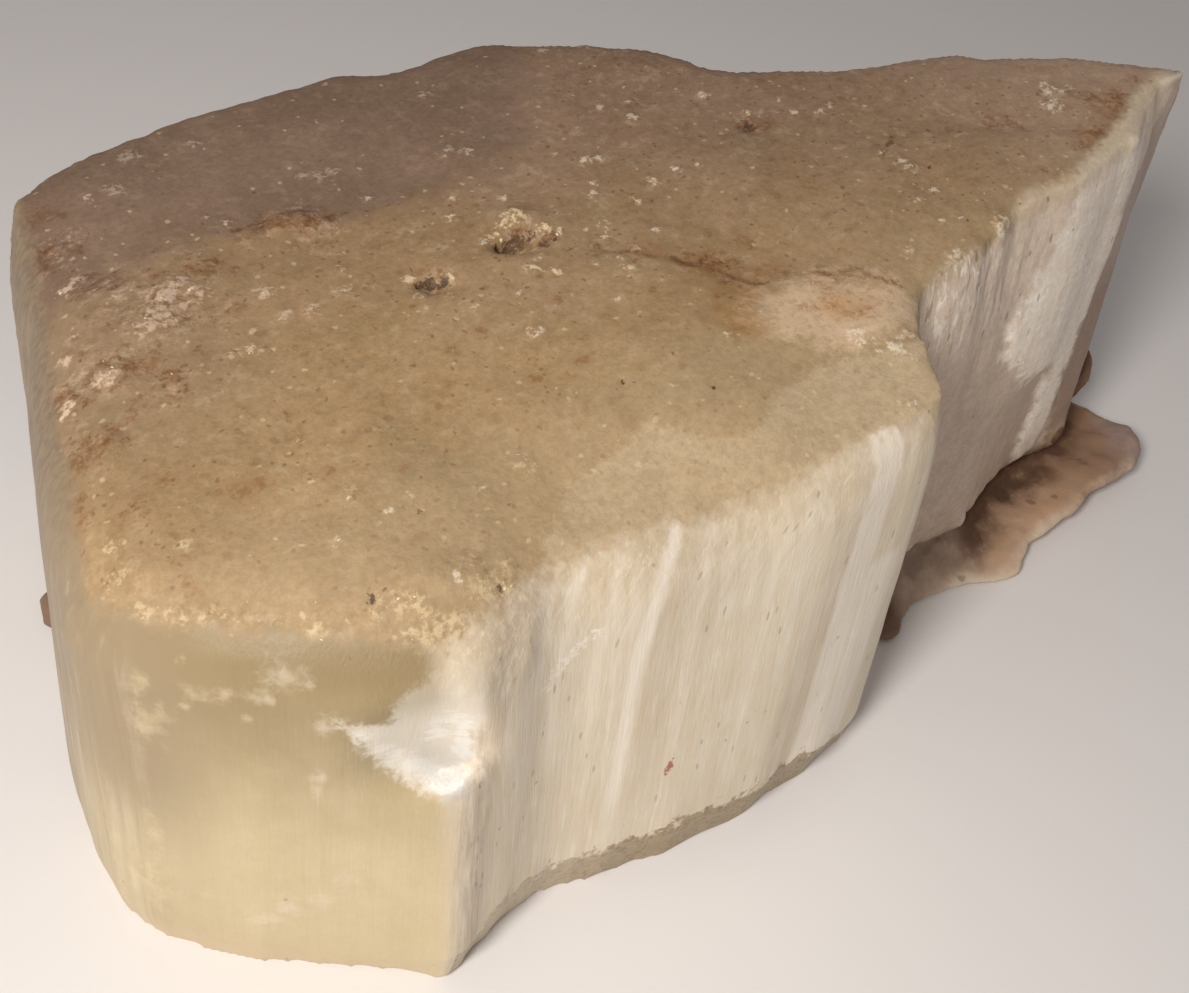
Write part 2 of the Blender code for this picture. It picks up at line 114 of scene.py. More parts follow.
def rise(values, low, high):
    # 0 at low, 1 at high, and an even S between
    share = np.clip((values - low) / (high - low), 0, 1)
    return share * share * (3 - 2 * share)


def along(line, at):
    # what a line of paired values reads at each place
    return np.interp(at, *zip(*line))


def farFrom(places, line):
    # how far each place is from a line drawn on the plan
    nearest = np.full(len(places), 1e9)
    for start, end in zip(line, line[1:]):
        leg = np.subtract(end, start)
        away = places[:, :2] - start
        share = np.clip(away @ leg / (leg @ leg), 0, 1)
        gap = away - share[:, None] * leg
        nearest = np.minimum(nearest, np.hypot(gap[:, 0], gap[:, 1]))
    return nearest


def insideBy(places, outline):
    # how far inside an outline on the plan each place is, below zero outside it
    inside = np.zeros(len(places), bool)
    ring = list(outline) + [outline[0]]
    x, y = places[:, 0], places[:, 1]
    for (ax, ay), (bx, by) in zip(ring, ring[1:]):
        if ay == by:
            continue
        crosses = (ay > y) != (by > y)
        inside ^= crosses & (x < (bx - ax) * (y - ay) / (by - ay) + ax)
    return farFrom(places, ring) * np.where(inside, 1, -1)


# What a mark reads far away from it, and where it can't be
farOff = -3.0
nowhere = -9


def nearLines(places, lines):
    # how far inside the nearest line's half width each place is
    found = np.full(len(places), farOff)
    for width, line in lines:
        found = np.maximum(found, width - farFrom(places, line))
    return found


def inSpots(places, spots):
    # 1 in the middle of the nearest spot, 0 at its edge, less beyond
    found = np.full(len(places), farOff)
    for x, y, z, across, up in spots:
        away = np.hypot(places[:, 0] - x, places[:, 1] - y) / across
        found = np.maximum(found, 1 - np.hypot(away, (places[:, 2] - z) / up))
    return found


stoneTop = {
    "height": 57.6,         # at the middle of the plan
    "slope": 0.08,          # rising with x
    "droopStart": -30,      # the top droops left and in front of this
    "leftDroop": 0.16,
    "frontDroop": 0.1,
    "spotReach": 20,        # how far up and down a spot of colour reaches
}


def onTop(x, y):
    # the height of the stone's top there, near enough for a spot of colour
    left = max(0, stoneTop["droopStart"] - x - y * 0.5)
    front = max(0, stoneTop["droopStart"] - y)
    height = stoneTop["height"] + stoneTop["slope"] * x
    return height - stoneTop["leftDroop"] * left - stoneTop["frontDroop"] * front


def topSpots(spots):
    return [(x, y, onTop(x, y), across, stoneTop["spotReach"]) for x, y, across in spots]


def paint(piece, name, values):
    layer = piece.data.attributes.new(name, "FLOAT", "POINT")
    layer.data.foreach_set("value", np.asarray(values, np.float32))


def weigh(piece, name, weights):
    # a vertex group, its weights in hundredths
    group = piece.vertex_groups.new(name=name)
    steps = np.round(np.clip(weights, 0, 1) * 100).astype(int)
    for step in range(1, 101):
        chosen = np.flatnonzero(steps == step)
        if len(chosen):
            group.add(chosen.tolist(), step / 100, "REPLACE")


def texture(name, kind, **settings):
    made = bpy.data.textures.new(name, kind)
    for setting, value in settings.items():
        setattr(made, setting, value)
    return made


def push(piece, group, height, pattern, middle, drawn):
    # moves a group of points along their normals by height mm, after a pattern drawn out
    # upright, or by its weights alone
    guide = bpy.data.objects.new("grainGuide", None)
    bpy.context.scene.collection.objects.link(guide)
    guide.scale = (mm, mm, mm * drawn)
    bpy.context.view_layer.update()
    settings = {"strength": height * mm, "vertex_group": group, "mid_level": 0.0}
    if pattern:
        settings.update(texture=pattern, texture_coords_object=guide,
                        texture_coords="OBJECT", mid_level=middle)
    addAndApply(piece, "DISPLACE", **settings)
    bpy.data.objects.remove(guide)


# The stone's body: its regions, marks and relief

stoneShape = {
    "voxel": 0.68,
    "softening": 8,          # rounds of smoothing that take the CAD's facets out
    "topSoftening": 37,
    "faceSoftening": 71,     # and those that flatten the front faces' flutes
    "flankSoftening": 98,
    "rimSoftening": 28,
    "chipSoftening": 21,
    "stepSoftening": 44,
    "crustSoftening": 21,
    "calmRounds": 9,         # smoothing that tells what stands out from what lies low
    "standReach": 0.5,       # mm above or below the calm surface that count in full
    "smoothAngle": 75,       # degrees, past which an edge is left sharp
}
flankLine = {
    "from": 17.0, "to": 86.0, "step": 0.5,      # where along x the wall is read
    "heights": (48, 56), "behind": 6,           # and which of its points are
    "evened": 5.0, "reach": 16,                 # mm over which it is evened, and steps each way
}
# Where regions fade: each is left out at the first value and full at the second
fades = {
    "base": (0.3, 2.0), "looseFoot": (0.6, 2.6), "wallFoot": (9.0, 12.0), "facingDown": (-0.8, -0.4),
    "leaning": (0.6, 0.35), "wallSlope": (0.65, 0.35), "facingUp": (0.7, 0.95), "hidden": (0.0, 25.0),
    "frontSide": (24.0, 29.0), "frontTop": (4.0, 8.0), "frontEnd": (9.0, 7.0), "offCorner": (1.5, 4.5),
    "evenStart": (21.0, 25.0), "evenEnd": (82.0, 77.0), "evenFoot": (9.0, 13.0), "evenNear": (10.0, 3.0),
    "flankStart": (19.5, 24.0), "flankEnd": (83.0, 79.0), "flankSide": (9.0, 12.0), "flankTop": (0.5, 3.0),
    "rimStart": (22.0, 26.0), "rimEnd": (80.0, 76.0), "rimSide": (7.0, 10.0), "rimHeight": (50.0, 54.0),
    "rimSlope": (0.1, 0.3), "rimFlat": (0.99, 0.95), "chipEdge": (-2.5, 0.0), "chipSide": (28.0, 31.0),
    "stepNear": (5.0, 2.0), "stepSlope": (0.2, 0.5), "shelfStart": (20.0, 24.0), "shelfSlope": (0.2, 0.6),
    "shelfHeight": (16.0, 13.0), "crustStart": (21.0, 24.0), "crustHeight": (17.0, 15.0),
    "crustBack": (0.0, 6.0), "crustOut": (0.2, 1.2), "crustUnder": (-0.3, 0.5), "crustClose": (-3.5, -2.0),
    "knobEdge": (0.0, 0.3), "knobHeight": (7.0, 5.5), "lipStart": (38.0, 43.0), "lipEnd": (58.0, 76.0),
    "flankFrom": (15.0, 19.0), "flankFront": (0.0, 4.0), "wornIn": (-1.0, 1.5),
    "fibresFrom": (-54.0, -51.0), "fibresSide": (26.0, 31.0), "bandEdge": (0.45, -0.35),
    "streakNear": (3.0, 0.8), "skinIn": (-0.5, 1.0), "silkIn": (-0.5, 0.5), "slabIn": (-0.8, 1.0),
    "slabDepth": (10.0, 18.0), "splinterStart": (19.0, 23.0), "splinterEnd": (48.0, 40.0),
    "splinterDepth": (14.0, 8.0), "grooveStart": (20.0, 26.0), "grooveSide": (5.0, 8.0),
    "grooveNear": (4.0, 2.5), "grooveSlope": (0.6, 0.3), "pitIn": (0.0, 0.8), "crackIn": (-0.5, 0.3),
    "lumpIn": (-0.3, 0.6), "crustyIn": (-0.1, 0.6), "crustyBack": (-22.0, -8.0),
}
frontCorners = (-50.5, 8.0)     # the x of the fibrous face's two ends

# The height of the rim above the upright faces, by x
rimHeights = (
    (-77.0, 47.5), (-53.0, 50.0), (-44.0, 50.0), (-25.0, 53.0), (-8.0, 54.5), (3.0, 56.0),
    (17.0, 58.0), (33.0, 59.3), (50.0, 61.0), (68.0, 62.0), (80.0, 63.7),
)
# The worn brown skin ends along this line at the front; round the rest the rim ends it.
skinOutline = (
    (-73.9, -11.1), (-74.6, -14.0), (-74.3, -16.8), (-73.4, -18.8), (-71.7, -21.2),
    (-69.7, -22.8), (-66.9, -24.7), (-64.3, -27.1), (-61.7, -29.2), (-59.8, -31.0), (-56.9, -32.8),
    (-54.9, -34.4), (-52.6, -35.9), (-50.3, -36.4), (-48.1, -36.0), (-45.6, -35.6), (-43.6, -35.0),
    (-41.5, -34.4), (-38.0, -34.6), (-34.3, -34.4), (-30.5, -35.5), (-27.8, -35.2), (-24.0, -36.4),
    (-18.2, -36.8), (-12.7, -37.8), (-6.0, -37.8), (0.6, -38.2), (6.5, -38.6), (9.5, -36.0),
    (13.5, -28.5), (18.2, -23.9), (23.2, -22.1), (30.6, -21.8), (34.4, -21.0), (37.6, -18.8),
    (42.2, -16.6), (47.3, -17.4), (51.4, -16.8), (55.2, -15.4), (60.5, -13.8), (65.4, -12.0),
    (69.5, -10.0), (75.2, -7.6), (80.2, -6.4), (84.0, -6.0), (95.0, 0.0), (95.0, 60.0), (-57.0, 60.0),
    (-60.3, 40.7), (-62.0, 32.6), (-64.2, 23.2), (-66.6, 15.1), (-69.1, 7.4), (-70.6, 1.0),
    (-71.8, -4.1), (-73.1, -8.5),
)
longStep = (
    (-63.0, 21.5), (-56.9, 23.4), (-50.1, 24.9), (-45.7, 24.2), (-40.7, 23.5), (-38.2, 24.9),
    (-31.8, 21.5), (-26.8, 20.1), (-19.1, 18.6),
)
# Behind the long step the vein wall is darker and greyer.
greyOutline = ((-75.0, 15.0), (-63.0, 21.2)) + longStep[1:] + (
    (-12.0, 18.3), (-6.0, 22.0), (0.0, 30.0), (8.0, 44.0), (8.0, 60.0), (-75.0, 60.0),
)
# The bevel that runs down to the fibrous face is paler and yellower.
creamOutline = (
    (-44.5, -37.5), (-42.1, -36.6), (-39.8, -34.0), (-36.6, -30.9), (-33.2, -27.8), (-30.1, -27.1),
    (-27.0, -27.4), (-22.7, -25.1), (-21.2, -27.3), (-19.6, -29.1), (-17.7, -30.7), (-14.8, -32.5),
    (-10.9, -31.2), (-7.7, -28.8), (-3.8, -28.9), (0.3, -28.3), (5.5, -29.6), (11.4, -30.4),
    (16.0, -36.0), (6.0, -45.0), (-44.0, -45.0),
)
orangeOutline = (
    (-3.5, -19.0), (0.5, -15.5), (4.2, -14.8), (7.7, -15.0), (9.8, -17.8), (13.5, -21.2),
    (17.0, -25.0), (13.0, -30.0), (5.5, -29.4), (0.3, -28.3), (-2.0, -24.0),
)
# The edge of the orange corner's low step
cornerStep = (
    (-13.8, 1.7), (-6.2, -3.0), (-1.8, -8.3), (1.0, -12.7), (1.8, -14.3), (4.2, -14.1), (7.7, -14.3),
    (9.5, -17.3), (13.1, -20.8), (16.3, -24.7),
)
# Fine breaks in the top, each with how wide it looks
crackLines = (
    (0.35, longStep),
    (0.35, ((-50.0, 18.6), (-44.7, 18.8), (-40.3, 14.9), (-34.0, 14.0))),
    (0.30, ((-37.4, 7.7), (-34.0, 7.3), (-29.3, 3.8))),
    (0.65, cornerStep),
    (0.50, ((30.7, -3.3), (35.9, 0.0), (37.2, 1.4), (40.3, -0.5), (44.5, -3.5), (49.3, -5.2),
            (51.4, -8.1), (55.3, -8.7), (60.4, -14.5))),
    (0.55, ((-14.6, 4.1), (-12.1, 4.6), (-11.3, 2.4))),
    (0.40, ((-20.6, 4.6), (-22.6, 6.2), (-21.5, 8.6))),
    (0.35, ((-58.5, 20.0), (-54.0, 21.4), (-51.0, 20.8))),
)
paleLines = (
    (0.30, ((-38.1, 16.5), (-28.7, 11.2), (-22.8, 8.2), (-18.5, 6.7))),
    (0.50, ((-60.9, -29.9), (-60.0, -30.6), (-58.2, -31.9))),
    (0.50, ((-64.9, -25.5), (-63.9, -26.4), (-62.2, -27.9))),
)
# Spots on the top: x, y and radius. Granular crust comes in patches.
crustySpots = (
    (-54.0, 14.5, 7.5), (-62.0, 8.0, 6.0), (-67.0, -0.7, 4.5), (-36.0, 21.3, 5.0), (-60.5, 22.5, 4.0),
    (-48.5, 18.5, 4.5), (-58.5, 2.5, 4.0), (-61.0, 32.0, 4.5), (-16.6, 6.2, 3.6), (-29.0, 4.0, 3.5),
    (-67.5, 8.0, 3.5), (1.0, -10.5, 4.5), (-51.5, -35.0, 5.0), (-64.5, -25.5, 4.5), (-72.5, -17.0, 4.0),
    (-45.0, -33.0, 4.0), (8.0, -20.0, 6.0), (68.0, -10.0, 5.0), (58.0, -15.0, 4.0), (61.5, -4.0, 3.5),
    (23.0, 12.0, 3.0), (50.5, -5.0, 3.5), (-57.5, -31.0, 4.0), (-70.0, -21.5, 3.5),
    (-10.0, -0.5, 2.6), (-6.0, -3.5, 2.4), (-2.5, -7.0, 3.0), (5.0, -14.6, 2.2), (9.0, -16.2, 2.2),
    (12.5, -20.0, 2.4), (38.0, 1.0, 2.0), (44.0, -3.0, 2.0),
)
brownSpots = (
    (-68.1, -0.9, 2.2), (-69.5, -1.0, 2.0), (-66.3, -0.3, 1.4), (-65.3, -1.9, 1.0), (-59.2, 7.2, 2.0),
    (-61.1, 7.6, 1.5), (-63.1, 9.1, 1.4), (-58.1, 3.9, 1.6), (-58.8, 1.1, 1.4), (-62.3, 2.6, 1.2),
    (-54.4, 6.3, 1.2), (-46.9, 19.0, 1.6), (-49.7, 19.1, 1.4), (-52.9, 19.6, 1.2), (-46.0, 16.8, 1.0),
    (-39.0, 22.6, 1.8), (-37.0, 21.8, 2.2), (-35.0, 20.8, 2.0), (-32.8, 20.5, 1.4), (-40.7, 22.6, 1.2),
    (-59.1, 38.1, 2.4), (-57.4, 36.4, 1.2), (-60.9, 31.9, 1.8), (-62.4, 29.4, 1.6), (-58.3, 29.6, 1.2),
    (-67.8, 8.9, 1.2), (-66.2, 5.9, 1.0), (-47.5, 10.9, 0.9), (-63.8, 1.2, 1.2), (-63.4, 6.0, 1.0),
    (-68.9, -10.3, 1.4), (-67.6, -10.0, 1.2), (-64.5, -8.4, 1.2), (-59.0, -13.6, 2.0),
    (-57.8, -13.7, 1.6), (-51.1, -6.7, 1.0), (-67.4, -18.2, 1.0), (-51.5, -15.7, 0.9),
    (-45.6, -19.2, 1.1), (-49.2, -27.2, 1.0), (-67.8, -21.1, 1.0), (-72.0, -7.8, 1.2),
    (-71.5, -5.3, 1.2), (3.4, -3.4, 1.0), (5.9, -7.3, 1.2), (-22.7, -15.2, 1.1), (-23.2, -24.2, 1.6),
    (-23.4, -25.4, 1.1), (-23.4, -21.5, 0.9), (-27.9, -22.4, 0.9), (-20.6, -12.2, 0.9),
    (-32.9, -7.0, 1.0), (-28.1, -14.7, 1.0), (0.0, -8.7, 1.4), (-1.4, -12.2, 1.0), (-0.9, -7.4, 1.0),
    (2.6, -9.4, 1.0), (-4.1, -13.8, 0.9), (-5.6, -19.9, 1.0), (-19.0, -5.9, 1.0), (-28.9, -5.6, 1.0),
    (23.0, 12.2, 1.6), (24.2, 11.0, 1.4), (21.4, 12.6, 1.0), (69.3, -8.8, 2.0), (67.8, -11.0, 1.8),
    (70.1, -7.3, 1.5), (60.0, -14.1, 2.0), (56.8, -15.7, 1.8), (62.2, -13.4, 1.8), (53.7, -17.4, 1.2),
    (65.0, -11.6, 1.4), (47.7, -17.4, 1.0), (74.6, -7.0, 1.2), (52.0, -5.3, 1.0), (50.5, -3.1, 0.8),
    (51.9, -7.1, 0.8), (46.8, -15.3, 0.8), (35.1, -0.8, 0.9), (42.6, -15.3, 0.6), (6.0, -22.0, 1.2),
    (6.0, -23.6, 1.0), (6.3, -20.1, 1.0), (7.5, -24.3, 1.3), (9.7, -23.5, 1.0), (7.3, -18.2, 1.0),
    (2.3, -16.4, 1.2), (12.1, -17.9, 1.3), (12.0, -21.8, 1.0), (5.6, -14.4, 0.8), (15.0, -23.0, 0.8),
)
goldStains = (
    (-0.5, -9.5, 4.5), (-2.5, -14.5, 4.5), (-4.5, -19.0, 3.5), (4.0, -13.0, 3.0), (-5.0, -4.0, 3.0),
    (66.0, -10.5, 5.0), (58.0, -14.5, 3.5), (7.0, -22.0, 3.5),
)
creamSpots = (
    (34.6, -20.6, 1.6), (36.2, -19.8, 1.0),
    (-53.8, 15.4, 2.6), (-51.9, 17.3, 1.6), (-55.6, 13.2, 2.2), (-57.2, 11.8, 1.8), (-44.7, 11.4, 1.4),
    (-41.7, 6.6, 1.0), (-42.7, 6.4, 0.6), (-44.2, 7.3, 0.7), (-45.1, 6.7, 0.5), (-49.9, 3.9, 1.0),
    (-51.9, 4.2, 0.8), (-58.0, 19.0, 0.9), (-61.3, 23.9, 1.3), (-60.2, 24.6, 1.0), (-63.6, 7.5, 1.3),
    (-67.7, 6.9, 1.0), (-68.6, 6.1, 0.8), (-59.1, 13.1, 0.7), (-42.6, 25.7, 0.8), (-53.8, 37.8, 0.9),
    (-37.2, 8.0, 1.0), (-36.0, 11.8, 0.7), (-65.7, 13.1, 0.9), (-63.7, 15.6, 0.7), (-44.2, 27.9, 0.6),
    (-51.0, 14.9, 1.6), (-71.3, -12.5, 1.0), (-72.3, -16.0, 1.2), (-73.3, -16.3, 0.8),
    (-66.3, -16.8, 0.9), (-72.3, -20.3, 1.2), (-69.6, -22.4, 1.2), (-67.4, -24.0, 1.0),
    (-66.1, -24.4, 0.8), (-55.2, -31.2, 1.0), (-53.7, -32.1, 0.9), (-52.3, -32.6, 0.8),
    (-51.8, -34.0, 0.8), (-45.8, -31.9, 1.2), (-43.1, -32.7, 0.8), (-46.2, -34.2, 1.4),
    (-44.2, -35.0, 1.2), (-44.5, -34.0, 0.8), (-52.8, -35.3, 1.3), (-51.4, -35.6, 1.7),
    (-50.0, -36.0, 1.4), (-53.9, -34.6, 1.0), (-60.3, -30.3, 1.0), (-55.0, -23.7, 0.7),
    (-51.3, -19.1, 0.8), (-50.0, -12.5, 0.5), (-52.0, -10.6, 0.5), (-40.5, -24.4, 0.7),
    (-15.3, 9.0, 1.3), (-16.6, 9.2, 1.0), (-18.5, 7.8, 0.9), (-13.3, 5.8, 1.0), (-18.6, 0.1, 1.0),
    (-16.5, -1.5, 0.8), (-16.5, 1.7, 0.6), (-30.5, 6.2, 0.9), (-31.0, 3.1, 0.8), (-28.2, 1.4, 0.7),
    (-26.6, 4.2, 0.8), (-20.6, 13.6, 0.9), (-18.7, 16.6, 0.7), (-0.2, 5.6, 0.9), (3.7, 7.6, 1.0),
    (-6.4, 3.5, 0.8), (-7.7, 1.5, 0.6), (-9.2, -5.1, 0.9), (-6.2, -2.1, 0.7), (-35.0, -23.6, 1.2),
    (5.1, -28.5, 0.8), (24.1, 14.4, 0.8),
)
whiteSpots = (
    (-24.1, -9.1, 1.0), (-27.3, -2.3, 0.5), (-7.2, -19.7, 0.6), (-22.0, -2.8, 0.6), (-8.6, -3.1, 0.7),
    (-11.0, -25.6, 0.5), (-16.9, -23.6, 0.4), (-0.8, 15.2, 0.9), (0.8, 14.8, 0.8), (10.2, 20.7, 0.9),
    (8.0, 24.6, 0.7), (29.7, 14.5, 0.6), (29.3, 11.1, 0.7), (32.1, 9.4, 0.8), (34.5, 10.2, 0.7),
    (10.5, 7.3, 0.6), (15.5, 3.4, 0.6), (32.3, -5.7, 1.1), (32.3, -7.0, 0.9), (32.5, -3.8, 0.6),
    (31.7, -2.5, 0.6), (59.8, -5.4, 1.4), (61.4, -3.1, 1.0), (63.2, -3.6, 0.9), (64.8, -3.9, 0.8),
    (62.6, -1.5, 0.9), (20.6, -19.0, 0.7), (25.2, -22.0, 1.2), (31.4, -11.8, 0.7), (28.4, -12.6, 0.6),
    (27.5, -16.8, 0.5), (29.9, -17.8, 0.5), (46.6, -12.0, 0.5), (71.4, -10.2, 0.9), (4.6, -26.8, 1.0),
    (4.0, -28.1, 0.7), (6.8, -30.2, 0.9), (7.4, -31.2, 0.9), (7.8, -30.2, 0.7), (5.0, -30.0, 0.5),
    (10.2, -30.0, 0.6), (9.5, -29.5, 0.5), (10.5, -31.0, 0.5), (7.8, -32.8, 0.4), (3.4, -37.4, 0.8),
    (-51.8, -19.9, 0.5), (-49.5, -22.9, 0.5), (-48.1, -32.6, 0.6), (-40.3, -24.6, 0.5),
    (-20.2, 7.5, 0.7), (-12.0, 4.6, 0.7), (-9.0, 3.4, 0.6), (-11.6, -2.4, 0.6), (-13.4, 13.5, 0.8),
    (-2.8, 10.7, 0.7), (-3.9, 8.7, 0.8), (-1.8, -0.5, 0.8), (-13.6, -9.2, 0.5), (21.4, 20.1, 0.9),
    (7.5, 8.1, 0.7),
)
# Far back they are only smudges.
smudges = (
    (-14.0, 25.4, 1.1), (-12.1, 24.0, 0.9), (-9.9, 38.0, 1.0), (11.9, 23.7, 0.7), (9.7, 40.3, 1.0),
    (15.9, 38.9, 1.0), (-50.7, 37.8, 1.3), (-38.8, 42.6, 1.0), (-46.1, 44.3, 1.5), (-27.5, 29.2, 1.1),
    (-29.2, 28.8, 1.2), (-31.2, 29.8, 1.0), (-26.4, 22.6, 0.7),
)
darkSpots = (
    (-55.5, -30.6, 0.6), (-44.9, -34.6, 0.5), (-47.0, -24.4, 0.4), (-21.0, -19.8, 0.45),
    (-13.3, -25.3, 0.4), (-17.7, 6.2, 0.9), (-16.3, 6.4, 1.0), (-15.2, 6.0, 0.8), (-18.9, 6.5, 0.6),
    (-14.4, 3.8, 0.7), (-12.8, 4.1, 0.6), (-28.6, 4.8, 1.1), (-29.8, 5.1, 0.7), (-27.4, 4.3, 0.8),
    (22.5, 11.9, 0.9),
    (34.9, -20.7, 0.5), (42.4, -17.8, 0.4), (34.8, -7.6, 0.3), (34.0, 7.6, 0.3), (46.2, -10.4, 0.3),
    (30.7, -18.0, 0.3), (22.9, -10.9, 0.3), (47.3, -15.7, 0.4),
)
# White clouds, chalky scuffs and cream crumbs on the upright faces: x, y, z, width, height
wallPale = (
    (-64.4, -29.9, 47.2, 2.3, 1.2), (-73.6, -22.4, 44.0, 1.2, 1.6), (-74.0, -22.3, 38.5, 1.6, 4.5),
    (-72.8, -23.6, 40.8, 1.2, 1.6), (-69.5, -26.7, 44.0, 1.8, 0.8), (-66.6, -28.9, 44.6, 2.0, 0.7),
    (-62.3, -33.4, 34.6, 1.1, 0.6), (-62.6, -33.3, 32.4, 0.6, 1.0), (-75.3, -21.9, 11.3, 2.0, 5.0),
    (-75.0, -22.3, 20.0, 1.0, 5.0), (-67.8, -30.0, 9.5, 2.6, 1.2), (-63.5, -33.0, 13.9, 2.4, 1.3),
    (-60.2, -35.4, 18.3, 1.9, 0.9), (-65.0, -32.0, 11.5, 1.6, 1.6), (-60.8, -34.3, 43.2, 2.1, 0.8),
    (-71.0, -25.4, 12.0, 1.0, 2.0), (-69.9, -26.4, 43.3, 0.9, 0.5), (-67.9, -28.1, 44.4, 1.2, 0.45),
    (-65.3, -30.4, 44.7, 0.6, 0.6), (-66.9, -29.2, 41.7, 0.6, 0.6), (-71.0, -25.3, 41.8, 0.6, 0.6),
    (-70.4, -24.3, 46.8, 0.6, 0.6), (-62.1, -33.6, 34.8, 0.7, 1.0), (-61.7, -33.6, 41.9, 1.0, 0.9),
    (-62.4, -32.0, 46.7, 1.0, 0.7), (-77.5, -12.7, 31.8, 0.8, 3.8), (-77.7, -11.8, 27.3, 0.6, 3.0),
    (-77.1, -17.3, 25.0, 0.6, 2.2), (-77.4, -17.1, 18.9, 0.7, 3.6), (-77.6, -16.7, 13.5, 0.7, 2.6),
    (-76.7, -19.2, 10.7, 0.6, 3.4), (-75.2, -22.0, 9.0, 1.5, 2.4), (-75.3, -11.0, 46.2, 0.5, 2.0),
    (49.5, -21.4, 49.4, 1.2, 2.6), (45.1, -22.2, 40.4, 1.0, 2.0), (49.1, -22.6, 35.0, 1.5, 2.6),
    (44.8, -22.4, 37.1, 0.8, 1.6), (50.3, -21.9, 42.7, 1.2, 3.0), (25.9, -23.3, 58.3, 0.9, 1.2),
    (24.3, -24.2, 53.9, 0.5, 1.6), (27.5, -24.0, 56.0, 0.4, 2.0), (58.1, -18.8, 54.6, 1.0, 3.0),
    (65.6, -16.1, 53.8, 0.8, 3.0), (79.0, -8.6, 62.6, 2.2, 1.6), (25.0, -22.6, 59.2, 1.4, 1.2),
)
wallCrumbs = (
    (-39.9, -38.0, 41.0, 1.3, 1.0), (-38.7, -38.0, 42.2, 1.4, 0.7), (-37.7, -38.0, 42.9, 1.4, 0.7),
    (-36.6, -38.2, 43.6, 1.4, 0.6), (-35.6, -38.3, 44.4, 1.3, 0.6), (-40.9, -38.0, 39.6, 1.2, 1.0),
    (34.0, -21.0, 59.8, 1.7, 1.8), (36.0, -20.2, 60.0, 1.1, 1.4),
)
redSpots = (
    (-24.7, -41.8, 19.4, 0.50, 1.3), (-25.1, -41.8, 18.4, 0.4, 0.6), (-24.2, -41.8, 20.6, 0.25, 1.0),
    (-58.9, -32.9, 49.2, 0.35, 0.3), (-58.0, 22.3, 53.0, 0.8, 2.0),
)
# Bands of brighter, unbroken fibre on the fibrous face: x at mid height, how far the top
# leans over, half width, the heights between which they show, and strength
whiteBands = (
    (-30.9, 1.0, 0.75, 16.0, 54.0, 1.0), (-40.3, 1.0, 0.7, 30.0, 52.5, 0.5),
    (-24.6, 0.5, 0.5, 24.0, 52.0, 0.4), (-35.5, 0.8, 0.5, 34.0, 51.5, 0.45),
    # The two broad bands near x -3.3 and 1.6, by the tip, are partly white fibre and partly painted
    # highlight where the face curves away from the lamp.
    (-3.3, 0.3, 2.1, 4.0, 56.0, 1.00), (1.6, 0.3, 2.6, 4.0, 38.0, 0.9),
    (-43.5, 1.0, 1.2, 24.0, 52.0, 0.4), (-21.8, 0.4, 0.4, 38.0, 50.0, 0.35),
    (-16.0, 0.4, 0.5, 10.0, 46.0, 0.35), (-12.1, 0.4, 0.4, 30.0, 52.0, 0.35),
    (-8.2, 0.2, 0.4, 4.0, 40.0, 0.35), (-33.0, 0.9, 0.3, 24.0, 46.0, 0.35),
)
bandLean = ((20.0, -0.5), (38.5, 0.0), (43.5, 0.9), (49.0, 2.4), (53.0, 5.9))   # height and share
# Where fine brown lines run down beside the corner, by height
streakLine = ((18, -49.9), (27, -49.7), (35, -49.2), (42, -47.7), (48, -45.8), (52, -43.5))
# The upper edge of the foot's bevel on that face, by x
bevelLine = (
    (-50.0, 5.0), (-44.0, 8.5), (-38.0, 7.5), (-30.0, 7.8), (-19.0, 8.2), (-12.0, 8.0), (-4.0, 8.5),
    (6.0, 5.0),
)
# The silky scallop broken off the corner, on x and z
silkOutline = (
    (-61.0, 43.4), (-59.8, 41.4), (-58.6, 38.4), (-57.4, 35.6), (-55.8, 33.8), (-54.0, 32.4),
    (-52.2, 31.9), (-50.4, 33.0), (-49.4, 35.4), (-49.0, 39.3), (-48.9, 43.0), (-49.0, 48.4),
    (-51.4, 48.4), (-53.6, 47.9), (-55.3, 46.5), (-56.4, 44.4), (-56.4, 42.4), (-57.8, 41.8),
    (-59.2, 42.4),
)
# Its brightest patches, partly painted sheen on the fresh white fibre, on x and z, with half width and
# height
silkBright = (
    (-55.6, 36.1, 1.5, 0.7), (-57.0, 37.6, 1.0, 0.8), (-52.6, 33.6, 1.7, 0.9), (-54.2, 34.4, 1.2, 0.7),
    (-51.5, 41.4, 1.1, 1.5), (-50.0, 36.6, 0.8, 2.2), (-51.3, 46.3, 1.2, 0.5), (-55.6, 46.2, 0.9, 0.5),
    (-52.0, 38.6, 0.9, 1.4), (-59.0, 40.2, 0.8, 1.0), (-50.2, 39.6, 0.5, 1.8),
)
# The bright slab that stands out of the flank, on x and z; its brightness is partly painted light, as it
# also marks where the flank lies outside the tip's shadow
slabOutline = (
    (42.0, 43.0), (42.6, 38.5), (44.5, 36.0), (47.0, 34.8), (48.3, 32.4), (51.0, 31.4), (53.5, 30.0),
    (57.0, 29.6), (60.0, 27.6), (62.8, 26.5), (63.3, 20.0), (62.6, 12.0), (63.6, 7.4), (66.0, 6.9),
    (69.0, 7.4), (69.8, 15.0), (69.6, 27.0), (68.5, 38.0), (69.5, 47.0), (71.0, 58.0), (78.0, 66.0),
    (52.0, 66.0), (49.0, 54.0), (45.5, 50.0), (43.5, 46.0),
)
# Where the flank's broken lower edge ends over the crust: x and height
wallEdges = ((20, 6.6), (33, 7.6), (46, 6.8), (60, 5.2), (75, 4.8), (86, 5.4))
